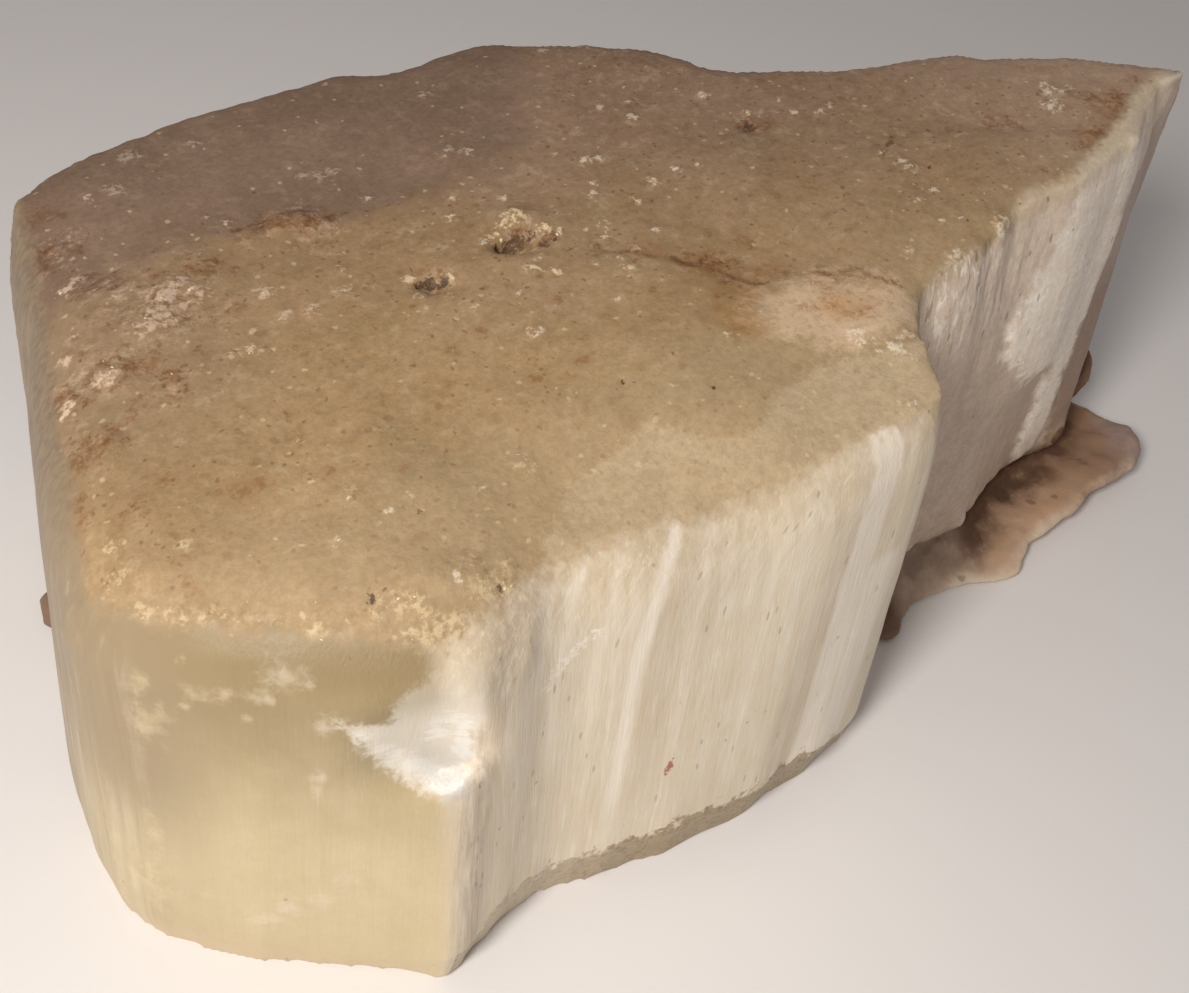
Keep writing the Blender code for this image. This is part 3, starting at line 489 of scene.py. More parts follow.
# The spots that are painted on the top, and those on the upright faces
topMarks = {
    "crusty": crustySpots, "brown": brownSpots, "stained": goldStains, "creamy": creamSpots,
    "white": whiteSpots + smudges, "dark": darkSpots,
}
wallMarks = {"clouds": wallPale, "crumbs": wallCrumbs, "red": redSpots}
# The crust's outer edge, and where the wall's foot meets it
crustRim = (
    (25.0, -30.9), (29.0, -30.9), (33.6, -29.0), (38.6, -29.3), (43.6, -30.2), (48.6, -32.3),
    (52.4, -33.2), (54.6, -31.4), (58.2, -30.0), (63.0, -29.4), (68.6, -29.2), (74.0, -27.6),
    (79.6, -28.0), (84.6, -27.6), (89.0, -25.6), (91.4, -21.8), (90.2, -16.6), (89.6, -12.2),
)
footLine = (
    (12.0, -30.5), (21.5, -27.5), (33.0, -25.5), (46.0, -25.2), (55.0, -20.8), (65.4, -18.6),
    (75.0, -17.8), (81.2, -13.9), (86.8, -9.2), (84.0, -0.5),
)
behindFoot = ((60.0, 40.0), (0.0, 40.0))        # closes the foot line behind the wall
# The lip is partly painted highlight where the lamp catches the edge; the right end, in painted shade,
# loses most of it.
crustLip = {"width": 2.3, "fadeShare": 0.7}     # the pale lip, and how much of it the right loses
# The worn skin ends where the surface turns steeper than this slope, and below this height.
skinEnd = {"slope": 0.42, "sharpness": 8, "height": 42}
# The low brown knob at the far left: its middle, and how far it reaches along x and y
knobMiddle = (-70.5, 27.0)
knobReach = (5.0, 6.0)


def fade(values, name):
    # how far each value is into one of the fades above, from 0 to 1
    return rise(values, *fades[name])


def makeStone():
    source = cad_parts["satin_spar"]
    stone = bpy.data.objects.new("satinSparSlab", source.data.copy())
    bpy.context.scene.collection.objects.link(stone)
    pickOnly(stone)
    bpy.ops.object.mode_set(mode="EDIT")
    bpy.ops.mesh.select_all(action="SELECT")
    bpy.ops.mesh.remove_doubles(threshold=0.01 * mm)
    bpy.ops.object.mode_set(mode="OBJECT")
    addAndApply(stone, "REMESH", mode="VOXEL", voxel_size=stoneShape["voxel"] * mm)
    print("stone remeshed:", len(stone.data.vertices), "points")
    return stone


def belowRim(places):
    return along(rimHeights, places[:, 0]) - places[:, 2]


def soften(stone, name, rounds, weights):
    weigh(stone, name, weights)
    addAndApply(stone, "SMOOTH", factor=0.5, iterations=rounds, vertex_group=name)


def evenFlank(stone):
    # takes the CAD's flutes out of the flank and its rim: what is near the wall moves with
    # the wall's own line, which is drawn out even
    places = placesOf(stone)
    x, y, z = places.T
    low, high = flankLine["heights"]
    step, reach = flankLine["step"], flankLine["reach"]
    wall = places[(z > low) & (z < high) & (y < flankLine["behind"])]
    spots = np.arange(flankLine["from"], flankLine["to"], step)
    front = np.array([wall[abs(wall[:, 0] - at) < step * 1.2, 1].min() for at in spots])
    bell = np.exp(-(np.arange(-reach, reach + 1) * step / flankLine["evened"]) ** 2 / 2)
    trend = np.polynomial.Polynomial.fit(spots, front, 3)(spots)
    even = np.convolve(np.pad(front - trend, reach, mode="edge"), bell / bell.sum(), "valid") + trend
    near = fade(y - np.interp(x, spots, front), "evenNear")
    share = near * fade(x, "evenStart") * fade(x, "evenEnd") * fade(z, "evenFoot")
    places[:, 1] += share * np.interp(x, spots, even - front)
    putPlaces(stone, places)


def softenFacets(stone):
    places, facings = placesOf(stone), facingsOf(stone)
    x, y, z = places.T
    depth, up = belowRim(places), facings[:, 2]
    standing = fade(z, "base")
    soften(stone, "facets", stoneShape["softening"], standing)
    fromCorner = np.minimum(*(abs(x - corner) for corner in frontCorners))
    face = fade(-x * 0.4 - y, "frontSide") * fade(depth, "frontTop") * fade(z, "wallFoot")
    face *= fade(fromCorner, "offCorner") * fade(x, "frontEnd")
    soften(stone, "frontFaces", stoneShape["faceSoftening"], face)
    flank = fade(x, "flankStart") * fade(x, "flankEnd") * fade(-y, "flankSide")
    flank *= fade(depth, "flankTop") * fade(z, "wallFoot") * fade(up, "leaning")
    soften(stone, "flankFace", stoneShape["flankSoftening"], flank)
    rim = fade(x, "rimStart") * fade(x, "rimEnd") * fade(-y, "rimSide") * fade(z, "rimHeight")
    rim *= fade(up, "rimSlope") * fade(up, "rimFlat")
    soften(stone, "flankRim", stoneShape["rimSoftening"], rim)
    chip = fade(insideBy(np.stack((x, z), 1), silkOutline), "chipEdge") * fade(-y, "chipSide")
    soften(stone, "chip", stoneShape["chipSoftening"], chip)
    soften(stone, "topFacets", stoneShape["topSoftening"], fade(up, "facingUp") * standing)
    toStep = np.minimum(farFrom(places, cornerStep), farFrom(places, longStep))
    steps = fade(toStep, "stepNear") * fade(up, "stepSlope")
    soften(stone, "steps", stoneShape["stepSoftening"], steps)
    shelf = fade(up, "shelfSlope") * fade(z, "shelfHeight") * fade(x, "shelfStart") * standing
    soften(stone, "crustTop", stoneShape["crustSoftening"], shelf)


def markRegions(stone):
    places, facings = placesOf(stone), facingsOf(stone)
    x, y, z = places.T
    up = facings[:, 2]
    outFrom = -insideBy(places, footLine + behindFoot)
    under = fade(along(wallEdges, x) - z, "crustUnder") * fade(outFrom, "crustClose")
    crust = np.maximum(fade(outFrom, "crustOut"), under)
    crust *= fade(z, "crustHeight") * fade(x, "crustStart") * fade(10 - y, "crustBack")
    knob = 1 - np.hypot((x - knobMiddle[0]) / knobReach[0], (y - knobMiddle[1]) / knobReach[1])
    crust = np.maximum(crust, fade(knob, "knobEdge") * fade(z, "knobHeight"))
    lip = (1 - farFrom(places, crustRim) / crustLip["width"]) * fade(x, "lipStart")
    lip *= 1 - fade(x, "lipEnd") * crustLip["fadeShare"]
    worn = insideBy(places, skinOutline)
    skin = np.minimum(worn, (up - skinEnd["slope"]) * skinEnd["sharpness"])
    skin = np.where(z < skinEnd["height"], nowhere, skin)
    flank = fade(x, "flankFrom") * fade(-y, "flankFront") * (1 - crust)
    flank *= 1 - (1 - fade(up, "leaning")) * fade(worn, "wornIn")
    fibrous = fade(x, "fibresFrom") * fade(-y, "fibresSide") * (1 - flank)
    bands = np.zeros(len(places))
    for middle, lean, width, low, high, strength in whiteBands:
        aside = abs(x - middle - lean * along(bandLean, z)) - width
        band = fade(aside, "bandEdge") * rise(z, low - 7, low + 5) * rise(z, high + 2, high)
        bands = np.maximum(bands, band * strength)
    front = np.stack((x, z), 1)
    bright = [(spotX, 0, spotZ, across, high) for spotX, spotZ, across, high in silkBright]
    onBevel = (y < -30) & (x > -52) & (x < 8)
    marks = {
        "skin": skin, "flank": flank, "fibrous": fibrous, "crust": crust, "outFrom": outFrom,
        "lip": lip, "bands": bands, "depth": belowRim(places),
        "grey": insideBy(places, greyOutline), "cream": insideBy(places, creamOutline),
        "orange": insideBy(places, orangeOutline),
        "cracks": nearLines(places, crackLines), "lines": nearLines(places, paleLines),
        "streaks": fade(abs(x - along(streakLine, z)), "streakNear"),
        "silk": np.where(y < -30, insideBy(front, silkOutline), nowhere),
        "bevel": np.where(onBevel, along(bevelLine, x) - z, nowhere),
        "silkBright": inSpots(places * (1, 0, 1), bright),
        "slab": np.where(y < -5, insideBy(front, slabOutline), nowhere),
    }
    for name, spots in topMarks.items():
        marks[name] = inSpots(places, topSpots(spots))
    for name, spots in wallMarks.items():
        marks[name] = inSpots(places, spots)
    for name, values in marks.items():
        paint(stone, name, values)
    print("stone's regions marked")


# What moves the surface, in turn: which points, how far in mm, after which pattern, which of
# the pattern's values stays in place, and how far the pattern is drawn out upright
stoneRelief = (
    ("wall", 0.10, "flutes", 0.5, 16),
    ("fine", 0.10, "fibres", 0.5, 22),
    ("coarse", 0.24, "fibres", 0.5, 6),
    ("coarse", 0.40, "ridges", 0.5, 5),
    ("slab", 0.45, None, 0, 1),
    ("top", 0.50, "swell", 0.5, 1),
    ("top", 0.20, "grain", 0.5, 1),
    ("top", 0.06, "grit", 0.5, 1),
    ("rough", 0.48, "grain", 0.42, 1),
    ("rough", 0.20, "grit", 0.5, 1),
    ("lumps", 0.20, None, 0, 1),
    ("cracks", -0.288, "grit", 0.2, 1),
    ("pits", -0.7, None, 0, 1),
    ("rim", 1.0, "grain", 0.56, 1),
    ("crust", 1.4, "folds", 0.5, 1),
    ("crust", 0.2, "grit", 0.5, 1),
    ("groove", -1.0, None, 0, 1),
)
reliefPatterns = {
    "flutes": {"noise_scale": 4.5, "noise_depth": 2},
    "fibres": {"noise_scale": 1.7, "noise_depth": 1},
    "swell": {"noise_scale": 9.0, "noise_depth": 2},
    "grain": {"noise_scale": 2.4, "noise_depth": 3},
    "grit": {"noise_scale": 1.3, "noise_depth": 1, "noise_type": "HARD_NOISE"},
    "folds": {"noise_scale": 4.2, "noise_depth": 3},
}
ridgePattern = {
    "musgrave_type": "RIDGED_MULTIFRACTAL", "noise_scale": 1.2, "octaves": 3,
    "dimension_max": 0.9, "lacunarity": 2.1, "noise_intensity": 0.5,
}
# Narrow bands that fade both ways, in mm: how far in from the skin's edge the nicked rim
# lies, how far under the wall's lower edge the groove does, and how wide both are
nicks = {"inward": 0.4, "width": 1.6}
footGroove = {"below": 1.6, "width": 1.7}


def valuesOf(stone, name):
    values = np.empty(len(stone.data.vertices), np.float32)
    stone.data.attributes[name].data.foreach_get("value", values)
    return values.astype(float)


def reliefWeights(stone):
    # how strongly each group of points takes part in the relief
    places, facings = placesOf(stone), facingsOf(stone)
    x, y, z = places.T
    up = facings[:, 2]
    crust, flank, fibrous, skin, depth = (
        valuesOf(stone, name) for name in ("crust", "flank", "fibrous", "skin", "depth"))
    standing = fade(z, "looseFoot") * fade(up, "facingDown")
    top = fade(skin, "skinIn") * standing
    wall = fade(up, "wallSlope") * (1 - crust) * standing
    hidden = fade(y + 0.3 * x, "hidden")
    silk = fade(valuesOf(stone, "silk"), "silkIn")
    splintered = fade(x, "splinterStart") * fade(x, "splinterEnd") * fade(depth, "splinterDepth")
    rim = np.exp(-((skin - nicks["inward"]) / nicks["width"]) ** 2) * (1 - crust) * standing
    under = along(wallEdges, x) - z - footGroove["below"]
    groove = np.exp(-(under / footGroove["width"]) ** 2) * fade(x, "grooveStart") * standing
    groove *= fade(-y, "grooveSide") * fade(farFrom(places, footLine), "grooveNear")
    lumps = np.maximum(valuesOf(stone, "creamy"), valuesOf(stone, "white"))
    crusty = fade(valuesOf(stone, "crusty"), "crustyIn") * (0.35 + 0.65 * fade(y, "crustyBack"))
    return {
        "wall": wall,
        "coarse": wall * np.maximum(flank * (0.3 + 0.7 * splintered), hidden * 0.8),
        "fine": wall * (0.25 + 0.75 * fibrous) * (1 - silk * 0.8),
        "top": top,
        "crust": crust * standing,
        "groove": groove * fade(up, "grooveSlope"),
        "pits": fade(valuesOf(stone, "dark"), "pitIn") * top,
        "cracks": fade(valuesOf(stone, "cracks"), "crackIn") * top,
        "lumps": fade(lumps, "lumpIn") * top,
        "rough": crusty * top,
        "slab": fade(valuesOf(stone, "slab"), "slabIn") * fade(depth, "slabDepth") * wall,
        "rim": rim * np.maximum(flank * 0.5, 0.15 + 0.4 * hidden),
    }


def roughenStone(stone):
    for name, weights in reliefWeights(stone).items():
        weigh(stone, name, weights)
    patterns = {name: texture(name, "CLOUDS", **made) for name, made in reliefPatterns.items()}
    patterns["ridges"] = texture("ridges", "MUSGRAVE", **ridgePattern)
    for group, height, pattern, middle, drawn in stoneRelief:
        push(stone, group, height, patterns.get(pattern), middle, drawn)
    stone.vertex_groups.clear()
    places = placesOf(stone)
    places[:, 2] = np.maximum(places[:, 2], 0)
    putPlaces(stone, places)
    print("stone roughened")


def markHollows(stone):
    # how far each point stands above its neighbours, from a smoothed copy
    facings, places = facingsOf(stone), placesOf(stone)
    calm = bpy.data.objects.new("calm", stone.data.copy())
    bpy.context.scene.collection.objects.link(calm)
    addAndApply(calm, "SMOOTH", factor=0.5, iterations=stoneShape["calmRounds"])
    stand = ((places - placesOf(calm)) * facings).sum(axis=1)
    bpy.data.objects.remove(calm)
    paint(stone, "stand", np.clip(stand / stoneShape["standReach"], -1, 1))


def flattenBase(stone):
    # the resting face needs no points inside it
    pickOnly(stone)
    bpy.ops.object.mode_set(mode="EDIT")
    bpy.ops.mesh.select_mode(type="FACE")
    bpy.ops.mesh.select_all(action="DESELECT")
    bpy.ops.object.mode_set(mode="OBJECT")
    for face in stone.data.polygons:
        face.select = face.center.z < 0.02 * mm and face.normal.z < -0.99
    bpy.ops.object.mode_set(mode="EDIT")
    bpy.ops.mesh.dissolve_limited(angle_limit=math.radians(1))
    bpy.ops.object.mode_set(mode="OBJECT")
    bpy.ops.object.shade_smooth_by_angle(angle=math.radians(stoneShape["smoothAngle"]))
    stone.data.calc_loop_triangles()
    print("stone done:", len(stone.data.loop_triangles), "triangles")


# Loose grains that sit on the top and cling to the faces

grainSet = {
    "seed": 11, "radius": 0.8, "faceShare": 0.5, "smoothAngle": 75,
    "scatter": 200, "scatterSize": (0.12, 0.30), "scatterX": (-72, 80), "scatterY": (-36, 46),
    "rimCount": 60, "rimSize": (0.12, 0.30), "rimLegs": 18, "rimInward": 2.2,
    "paleCount": 70, "paleSize": (0.15, 0.4), "paleX": (-67, -46), "paleY": (4, 23),
    "spotCount": 4, "spotSize": (0.22, 0.50), "spotSpread": 0.45,    # for each spot of colour
    "spotLargest": 1.2,
    "crumbCount": 6, "crumbSize": (0.18, 0.4), "crumbSpread": 0.6,   # and each wall crumb
    "width": (0.7, 1.3), "height": (0.45, 0.8), "sunk": 0.55,        # as shares of a grain's size
    "above": 90.0, "before": -70.0,                                  # where they start from
}


def grainShape():
    bpy.ops.object.select_all(action="DESELECT")
    bpy.ops.mesh.primitive_ico_sphere_add(subdivisions=2, radius=grainSet["radius"])
    grain = bpy.context.object
    addAndApply(grain, "DECIMATE", ratio=grainSet["faceShare"])
    print("a grain has", len(grain.data.polygons), "faces")
    return grain


def grainStarts(rng):
    # where each grain starts from, which way it goes until it meets the stone, and its size
    starts = []

    def drop(x, y, size):
        starts.append(((x, y, grainSet["above"]), (0, 0, -1), size))

    for _ in range(grainSet["scatter"]):
        drop(rng.uniform(*grainSet["scatterX"]), rng.uniform(*grainSet["scatterY"]),
             rng.uniform(*grainSet["scatterSize"]))
    for _ in range(grainSet["rimCount"]):
        leg = rng.randrange(grainSet["rimLegs"])
        share = rng.random()
        x, y = (a * (1 - share) + b * share for a, b in zip(skinOutline[leg], skinOutline[leg + 1]))
        inward = abs(rng.gauss(0, grainSet["rimInward"]))
        drop(x + inward * 0.6, y + inward * 0.8, rng.uniform(*grainSet["rimSize"]))
    for _ in range(grainSet["paleCount"]):
        drop(rng.uniform(*grainSet["paleX"]), rng.uniform(*grainSet["paleY"]),
             rng.uniform(*grainSet["paleSize"]))
    for x, y, across in creamSpots + whiteSpots:
        spread = across * grainSet["spotSpread"]
        for _ in range(grainSet["spotCount"]):
            drop(x + rng.gauss(0, spread), y + rng.gauss(0, spread),
                 rng.uniform(*grainSet["spotSize"]) * min(across, grainSet["spotLargest"]))
    for x, _, z, across, up in wallCrumbs:
        for _ in range(grainSet["crumbCount"]):
            aside = rng.gauss(0, across * grainSet["crumbSpread"])
            above = rng.gauss(0, up * grainSet["crumbSpread"])
            start = (x + aside, grainSet["before"], z + above)
            starts.append((start, (0, 1, 0), rng.uniform(*grainSet["crumbSize"])))
    return starts


def layGrain(shape, hit, facing, size, rng):
    # a copy of the grain, turned and stretched at random, sunk a little into the stone
    grain = shape.copy()
    grain.data = shape.data.copy()
    bpy.context.scene.collection.objects.link(grain)
    turn = Matrix.Rotation(rng.uniform(0, math.tau), 4, "Z")
    lie = facing.to_track_quat("Z", "Y").to_matrix().to_4x4()
    sides = [size * rng.uniform(*grainSet[way]) for way in ("width", "width", "height")]
    stretch = Matrix.Diagonal((*sides, 1 / mm)) * mm
    place = Matrix.Translation(hit - facing * size * grainSet["sunk"] * mm)
    grain.matrix_world = place @ lie @ turn @ stretch
    paint(grain, "tone", [rng.random()] * len(grain.data.vertices))
    return grain


def scatterGrains(stone):
    rng = random.Random(grainSet["seed"])
    tree = BVHTree.FromObject(stone, bpy.context.evaluated_depsgraph_get())
    starts = grainStarts(rng)
    shape = grainShape()
    grains = []
    for start, toward, size in starts:
        hit, facing, _, _ = tree.ray_cast(inRow(start), Vector(toward))
        if hit:
            grains.append(layGrain(shape, hit, facing, size, rng))
    bpy.data.objects.remove(shape)
    bpy.context.view_layer.update()
    bpy.ops.object.select_all(action="DESELECT")
    for grain in grains:
        grain.select_set(True)
    bpy.context.view_layer.objects.active = grains[0]
    bpy.ops.object.join()
    joined = bpy.context.object
    bpy.ops.object.transform_apply(location=True, rotation=True, scale=True)
    joined.name = joined.data.name = "looseGrains"
    bpy.ops.object.shade_smooth_by_angle(angle=math.radians(grainSet["smoothAngle"]))
    print("grains:", len(grains))
    return joined


# Shader maths as expressions

class Wire:
    # an output socket that sums and products can be made from

    def __init__(self, board, socket):
        self.board, self.socket = board, socket

    def maths(self, operation, *others):
        return self.board.node("ShaderNodeMath", *others, settings={"operation": operation})

    def __add__(self, other):
        return self.maths("ADD", self, other)

    def __radd__(self, other):
        return self.maths("ADD", other, self)

    def __sub__(self, other):
        return self.maths("SUBTRACT", self, other)

    def __rsub__(self, other):
        return self.maths("SUBTRACT", other, self)

    def __mul__(self, other):
        return self.maths("MULTIPLY", self, other)

    def __rmul__(self, other):
        return self.maths("MULTIPLY", other, self)

    def most(self, other):
        return self.maths("MAXIMUM", self, other)

    def spread(self, low, high, toLow=0.0, toHigh=1.0):
        # toLow at low, toHigh at high, an even S between, held beyond
        return self.board.node("ShaderNodeMapRange", self, low, high, toLow, toHigh,
                               settings={"interpolation_type": "SMOOTHSTEP"})

    def output(self, name):
        return Wire(self.board, self.socket.node.outputs[name])


class Board:
    # a material's nodes

    def __init__(self, name):
        self.material = bpy.data.materials.new(name)
        self.material.use_nodes = True
        self.tree = self.material.node_tree
        self.shader = self.tree.nodes["Principled BSDF"]

    def node(self, kind, *values, settings=(), **named):
        made = self.tree.nodes.new(kind)
        for name, value in dict(settings).items():
            setattr(made, name, value)
        free = [socket for socket in made.inputs if socket.enabled]
        for socket, value in zip(free, values):
            self.feed(socket, value)
        for name, value in named.items():
            self.feed(next(s for s in free if s.name.replace(" ", "") == name), value)
        return Wire(self, next(socket for socket in made.outputs if socket.enabled))

    def feed(self, socket, value):
        if isinstance(value, Wire):
            self.tree.links.new(value.socket, socket)
        elif value is not None:
            socket.default_value = (*value, 1) if socket.type == "RGBA" else value

    def painted(self, name):
        node = self.node("ShaderNodeAttribute", settings={"attribute_name": name})
        return node.output("Fac")

    def scaled(self, place, by):
        return self.node("ShaderNodeVectorMath", place, by, settings={"operation": "MULTIPLY"})

    def shaken(self, place, size, by):
        # the place moved about by up to by mm, so that round flecks turn ragged
        cloud = self.node("ShaderNodeTexNoise", Vector=place, Scale=1 / size, Detail=2.0)
        moved = self.node("ShaderNodeVectorMath", cloud.output("Color"), (0.5, 0.5, 0.5),
                          settings={"operation": "SUBTRACT"})
        moved = self.scaled(moved, (2 * by, 2 * by, 2 * by))
        return self.node("ShaderNodeVectorMath", place, moved, settings={"operation": "ADD"})

    def axes(self, place):
        split = self.node("ShaderNodeSeparateXYZ", place)
        return [split.output(name) for name in "XYZ"]

    def noise(self, place, size, detail=2.0, rough=0.5):
        return self.node("ShaderNodeTexNoise", Vector=place, Scale=1 / size, Detail=detail,
                         Roughness=rough)

    def mixed(self, share, first, second, way="MIX"):
        settings = {"data_type": "RGBA", "blend_type": way, "clamp_factor": True}
        return self.node("ShaderNodeMix", share, first, second, settings=settings)

    def shaded(self, share, colour, shade):
        return self.mixed(share, colour, shade, "MULTIPLY")

    def flecks(self, place, cell, few, size):
        # round flecks, in a few of the cells
        cells = self.node("ShaderNodeTexVoronoi", Vector=place, Scale=1 / cell)
        draw = self.node("ShaderNodeSeparateColor", cells.output("Color"))
        return cells.spread(size, size * 0.55) * draw.spread(1 - few, 1 - few + 0.02)

    def finish(self, **sockets):
        for name, value in sockets.items():
            found = next(s for s in self.shader.inputs if s.name.replace(" ", "") == name)
            self.feed(found, value)
        return self.material


stoneColours = {
    "tan": (0.32, 0.208, 0.099), "tanLight": (0.42, 0.287, 0.149), "tanFront": (0.50, 0.385, 0.235),
    "farBrown": (0.215, 0.132, 0.083), "farBrownLight": (0.30, 0.198, 0.130),
    "greyBrown": (0.165, 0.105, 0.069), "greyBrownLight": (0.235, 0.157, 0.111),
    "cream": (0.46, 0.345, 0.210), "creamLight": (0.56, 0.450, 0.295),
    "orange": (0.68, 0.505, 0.335), "gold": (0.72, 0.595, 0.370),
    "chalk": (0.76, 0.670, 0.530), "paleCrust": (0.54, 0.395, 0.290), "soil": (0.075, 0.040, 0.020),
    "dullTan": (0.255, 0.180, 0.115), "violet": (0.36, 0.280, 0.280),
    "honey": (0.56, 0.448, 0.262), "honeyLight": (0.69, 0.590, 0.390),
    "honeyTop": (0.315, 0.235, 0.120), "honeyTopLight": (0.350, 0.265, 0.145),
    "leftTan": (0.335, 0.254, 0.155), "leftEdge": (0.190, 0.138, 0.103),
    "fibre": (0.68, 0.565, 0.390), "fibreWhite": (0.84, 0.770, 0.640), "fibreGrey": (0.40, 0.300, 0.245),
    "band": (0.91, 0.830, 0.715), "pearl": (0.78, 0.725, 0.620), "silk": (0.88, 0.855, 0.780),
    "recess": (0.50, 0.385, 0.300), "recessLight": (0.65, 0.520, 0.410),
    "slabTan": (0.83, 0.710, 0.575), "slabLight": (0.97, 0.905, 0.810), "mauve": (0.40, 0.300, 0.250),
    "crust": (0.20, 0.105, 0.056), "crustLight": (0.58, 0.375, 0.238), "crustDark": (0.14, 0.070, 0.038),
    "red": (0.34, 0.035, 0.025),
    # shades, which what lies under them is multiplied by
    "blotchShade": (0.72, 0.60, 0.47), "dotShade": (0.55, 0.43, 0.32), "spotShade": (0.62, 0.48, 0.35),
    "granuleShade": (0.58, 0.41, 0.28), "brownShade": (0.62, 0.43, 0.26),
    "stainShade": (0.80, 0.60, 0.36), "crackShade": (0.52, 0.34, 0.20), "rimShade": (0.74, 0.70, 0.63),
    "chipShade": (0.70, 0.70, 0.72), "topGlint": (1.12, 1.12, 1.12), "flankGlint": (1.10, 1.10, 1.10),
}
grainColours = {"brown": (0.50, 0.34, 0.15), "honey": (0.78, 0.63, 0.36), "white": (0.86, 0.78, 0.64)}


def groundColour(board, ink, top):
    # the top's broad colours, how little each place is overlaid by others, and how near the
    # front it is
    tone = top.broad * 0.5 + top.patch * 0.2 + top.fine * 0.15
    colour = board.mixed(tone, ink["tan"], ink["tanLight"])
    # Lighter toward the front: partly the top's own paler tan, partly painted light where the lamp is
    # nearer.
    front = (top.y + top.patch * 4).spread(-13, -28)
    colour = board.mixed(front * 0.4, colour, ink["tanFront"])
    dull = top.x.spread(-46, -72) * top.y.spread(-22, 4)
    colour = board.mixed(dull * 0.55, colour, ink["dullTan"])
    # Darker and browner toward the back: partly its own colour, partly painted shade where the lamp falls
    # off.
    colour = board.mixed(top.far, colour, board.mixed(tone, ink["farBrown"], ink["farBrownLight"]))
    cream = (board.painted("cream") + top.ragged * 0.5).spread(-0.6, 0.7)
    paler = top.x.spread(-20, 8) * 0.5
    creamColour = board.mixed(paler + top.patch * 0.3 + top.fine * 0.2, ink["cream"], ink["creamLight"])
    colour = board.mixed(cream * 0.75, colour, creamColour)
    orange = (board.painted("orange") + top.ragged * 1.8).spread(-2.0, 3.0)
    colour = board.mixed(orange * 0.75, colour, ink["orange"])
    grey = (board.painted("grey") + top.ragged * 2.6).spread(-2.6, 2.2)
    colour = board.mixed(grey * 0.8, colour, board.mixed(tone, ink["greyBrown"], ink["greyBrownLight"]))
    # Painted light: paler toward the right end, making up for the lamp falling off there.
    right = top.x.spread(15, 80)
    colour = board.mixed(right * (1 - grey) * 0.42, colour, ink["paleCrust"])
    calm = 1 - grey.most(cream).most(front * 0.8) * 0.55
    return colour, calm, front


def topColour(board, place, ink):
    broad = board.noise(place, 18, 3, 0.5).spread(0.35, 0.65)
    patch = board.noise(place, 4.5, 4, 0.6).spread(0.34, 0.66)
    blotch = board.noise(place, 2.0, 3, 0.65)
    fine = board.noise(place, 0.8, 4, 0.7).spread(0.3, 0.7)
    ragged = patch * 1.4 + fine * 0.8 - 1.1
    x, y, _ = board.axes(place)
    away = y + x * 0.35
    far = (away + broad * 12).spread(-26, 38)
    top = SimpleNamespace(broad=broad, patch=patch, fine=fine, ragged=ragged, far=far, x=x, y=y)
    colour, calm, front = groundColour(board, ink, top)
    colour = board.shaded(blotch.spread(0.53, 0.68) * calm * 0.38, colour, ink["blotchShade"])
    colour = board.mixed(blotch.spread(0.46, 0.32) * calm * 0.22, colour, ink["creamLight"])
    near = board.shaken(place, 1.1, 0.5)
    dots = board.flecks(near, 1.05, 0.36, 0.30) * patch.spread(0.0, 0.6)
    spots = board.flecks(near, 2.6, 0.35, 0.26)
    colour = board.shaded(dots * calm * 0.65, colour, ink["dotShade"])
    colour = board.shaded(spots * calm * 0.4, colour, ink["spotShade"])
    crumbs = board.flecks(near, 1.4, 0.20, 0.24).most(board.flecks(near, 4.2, 0.16, 0.12))
    colour = board.mixed(crumbs * 0.38, colour, ink["gold"])
    crusty = (board.painted("crusty") + ragged * 0.6).spread(-0.1, 0.7) * away.spread(-46, -22, 0.35, 1.0)
    granules = board.noise(near, 1.3, 4, 0.75)
    colour = board.shaded(crusty * granules.spread(0.5, 0.40) * 0.65, colour, ink["granuleShade"])
    colour = board.mixed(crusty * granules.spread(0.53, 0.63) * 0.5, colour, ink["paleCrust"])
    lines = (board.painted("lines") + granules * 1.2 - 0.65).spread(-0.05, 0.35)
    colour = board.mixed(lines * 0.4, colour, ink["creamLight"])
    brown = (board.painted("brown") + fine * 1.5 - 0.9).spread(-0.2, 0.9) * (1 - front * 0.45)
    colour = board.shaded(brown * 0.75, colour, ink["brownShade"])
    creamy = (board.painted("creamy") + fine * 1.6 - 1.0).spread(-0.1, 0.8)
    pinker = away.spread(-34, -16) * x.spread(-30, -50, 0.2, 1.0)
    creamInk = board.mixed(pinker, ink["gold"], ink["paleCrust"])
    colour = board.mixed(creamy * away.spread(-46, -22, 0.4, 0.9), colour, creamInk)
    white = (board.painted("white") + fine * 1.5 - 0.9).spread(-0.1, 0.7)
    colour = board.mixed(white * y.spread(14, 24, 0.65, 0.24), colour, ink["chalk"])
    stained = (board.painted("stained") * 1.5 + patch * 0.8 + fine * 0.4 - 0.7).spread(-0.3, 1.0)
    colour = board.shaded(stained * 0.5, colour, ink["stainShade"])
    cracks = (board.painted("cracks") + granules * 3.6 + patch - 2.6).spread(-0.1, 0.5)
    colour = board.shaded(cracks * 0.6, colour, ink["crackShade"])
    slits = (board.painted("cracks") + granules * 4.0 + patch * 1.2 - 3.3).spread(0.0, 0.3)
    dark = (board.painted("dark") + fine * 1.2 - 0.6).spread(0.0, 0.5)
    pepper = board.flecks(near, 1.9, 0.10, 0.15)
    colour = board.shaded(fine.spread(0.1, 0.9), colour, ink["topGlint"])
    return board.mixed(dark.most(slits * 0.5).most(pepper * 0.55) * 0.85, colour, ink["soil"])


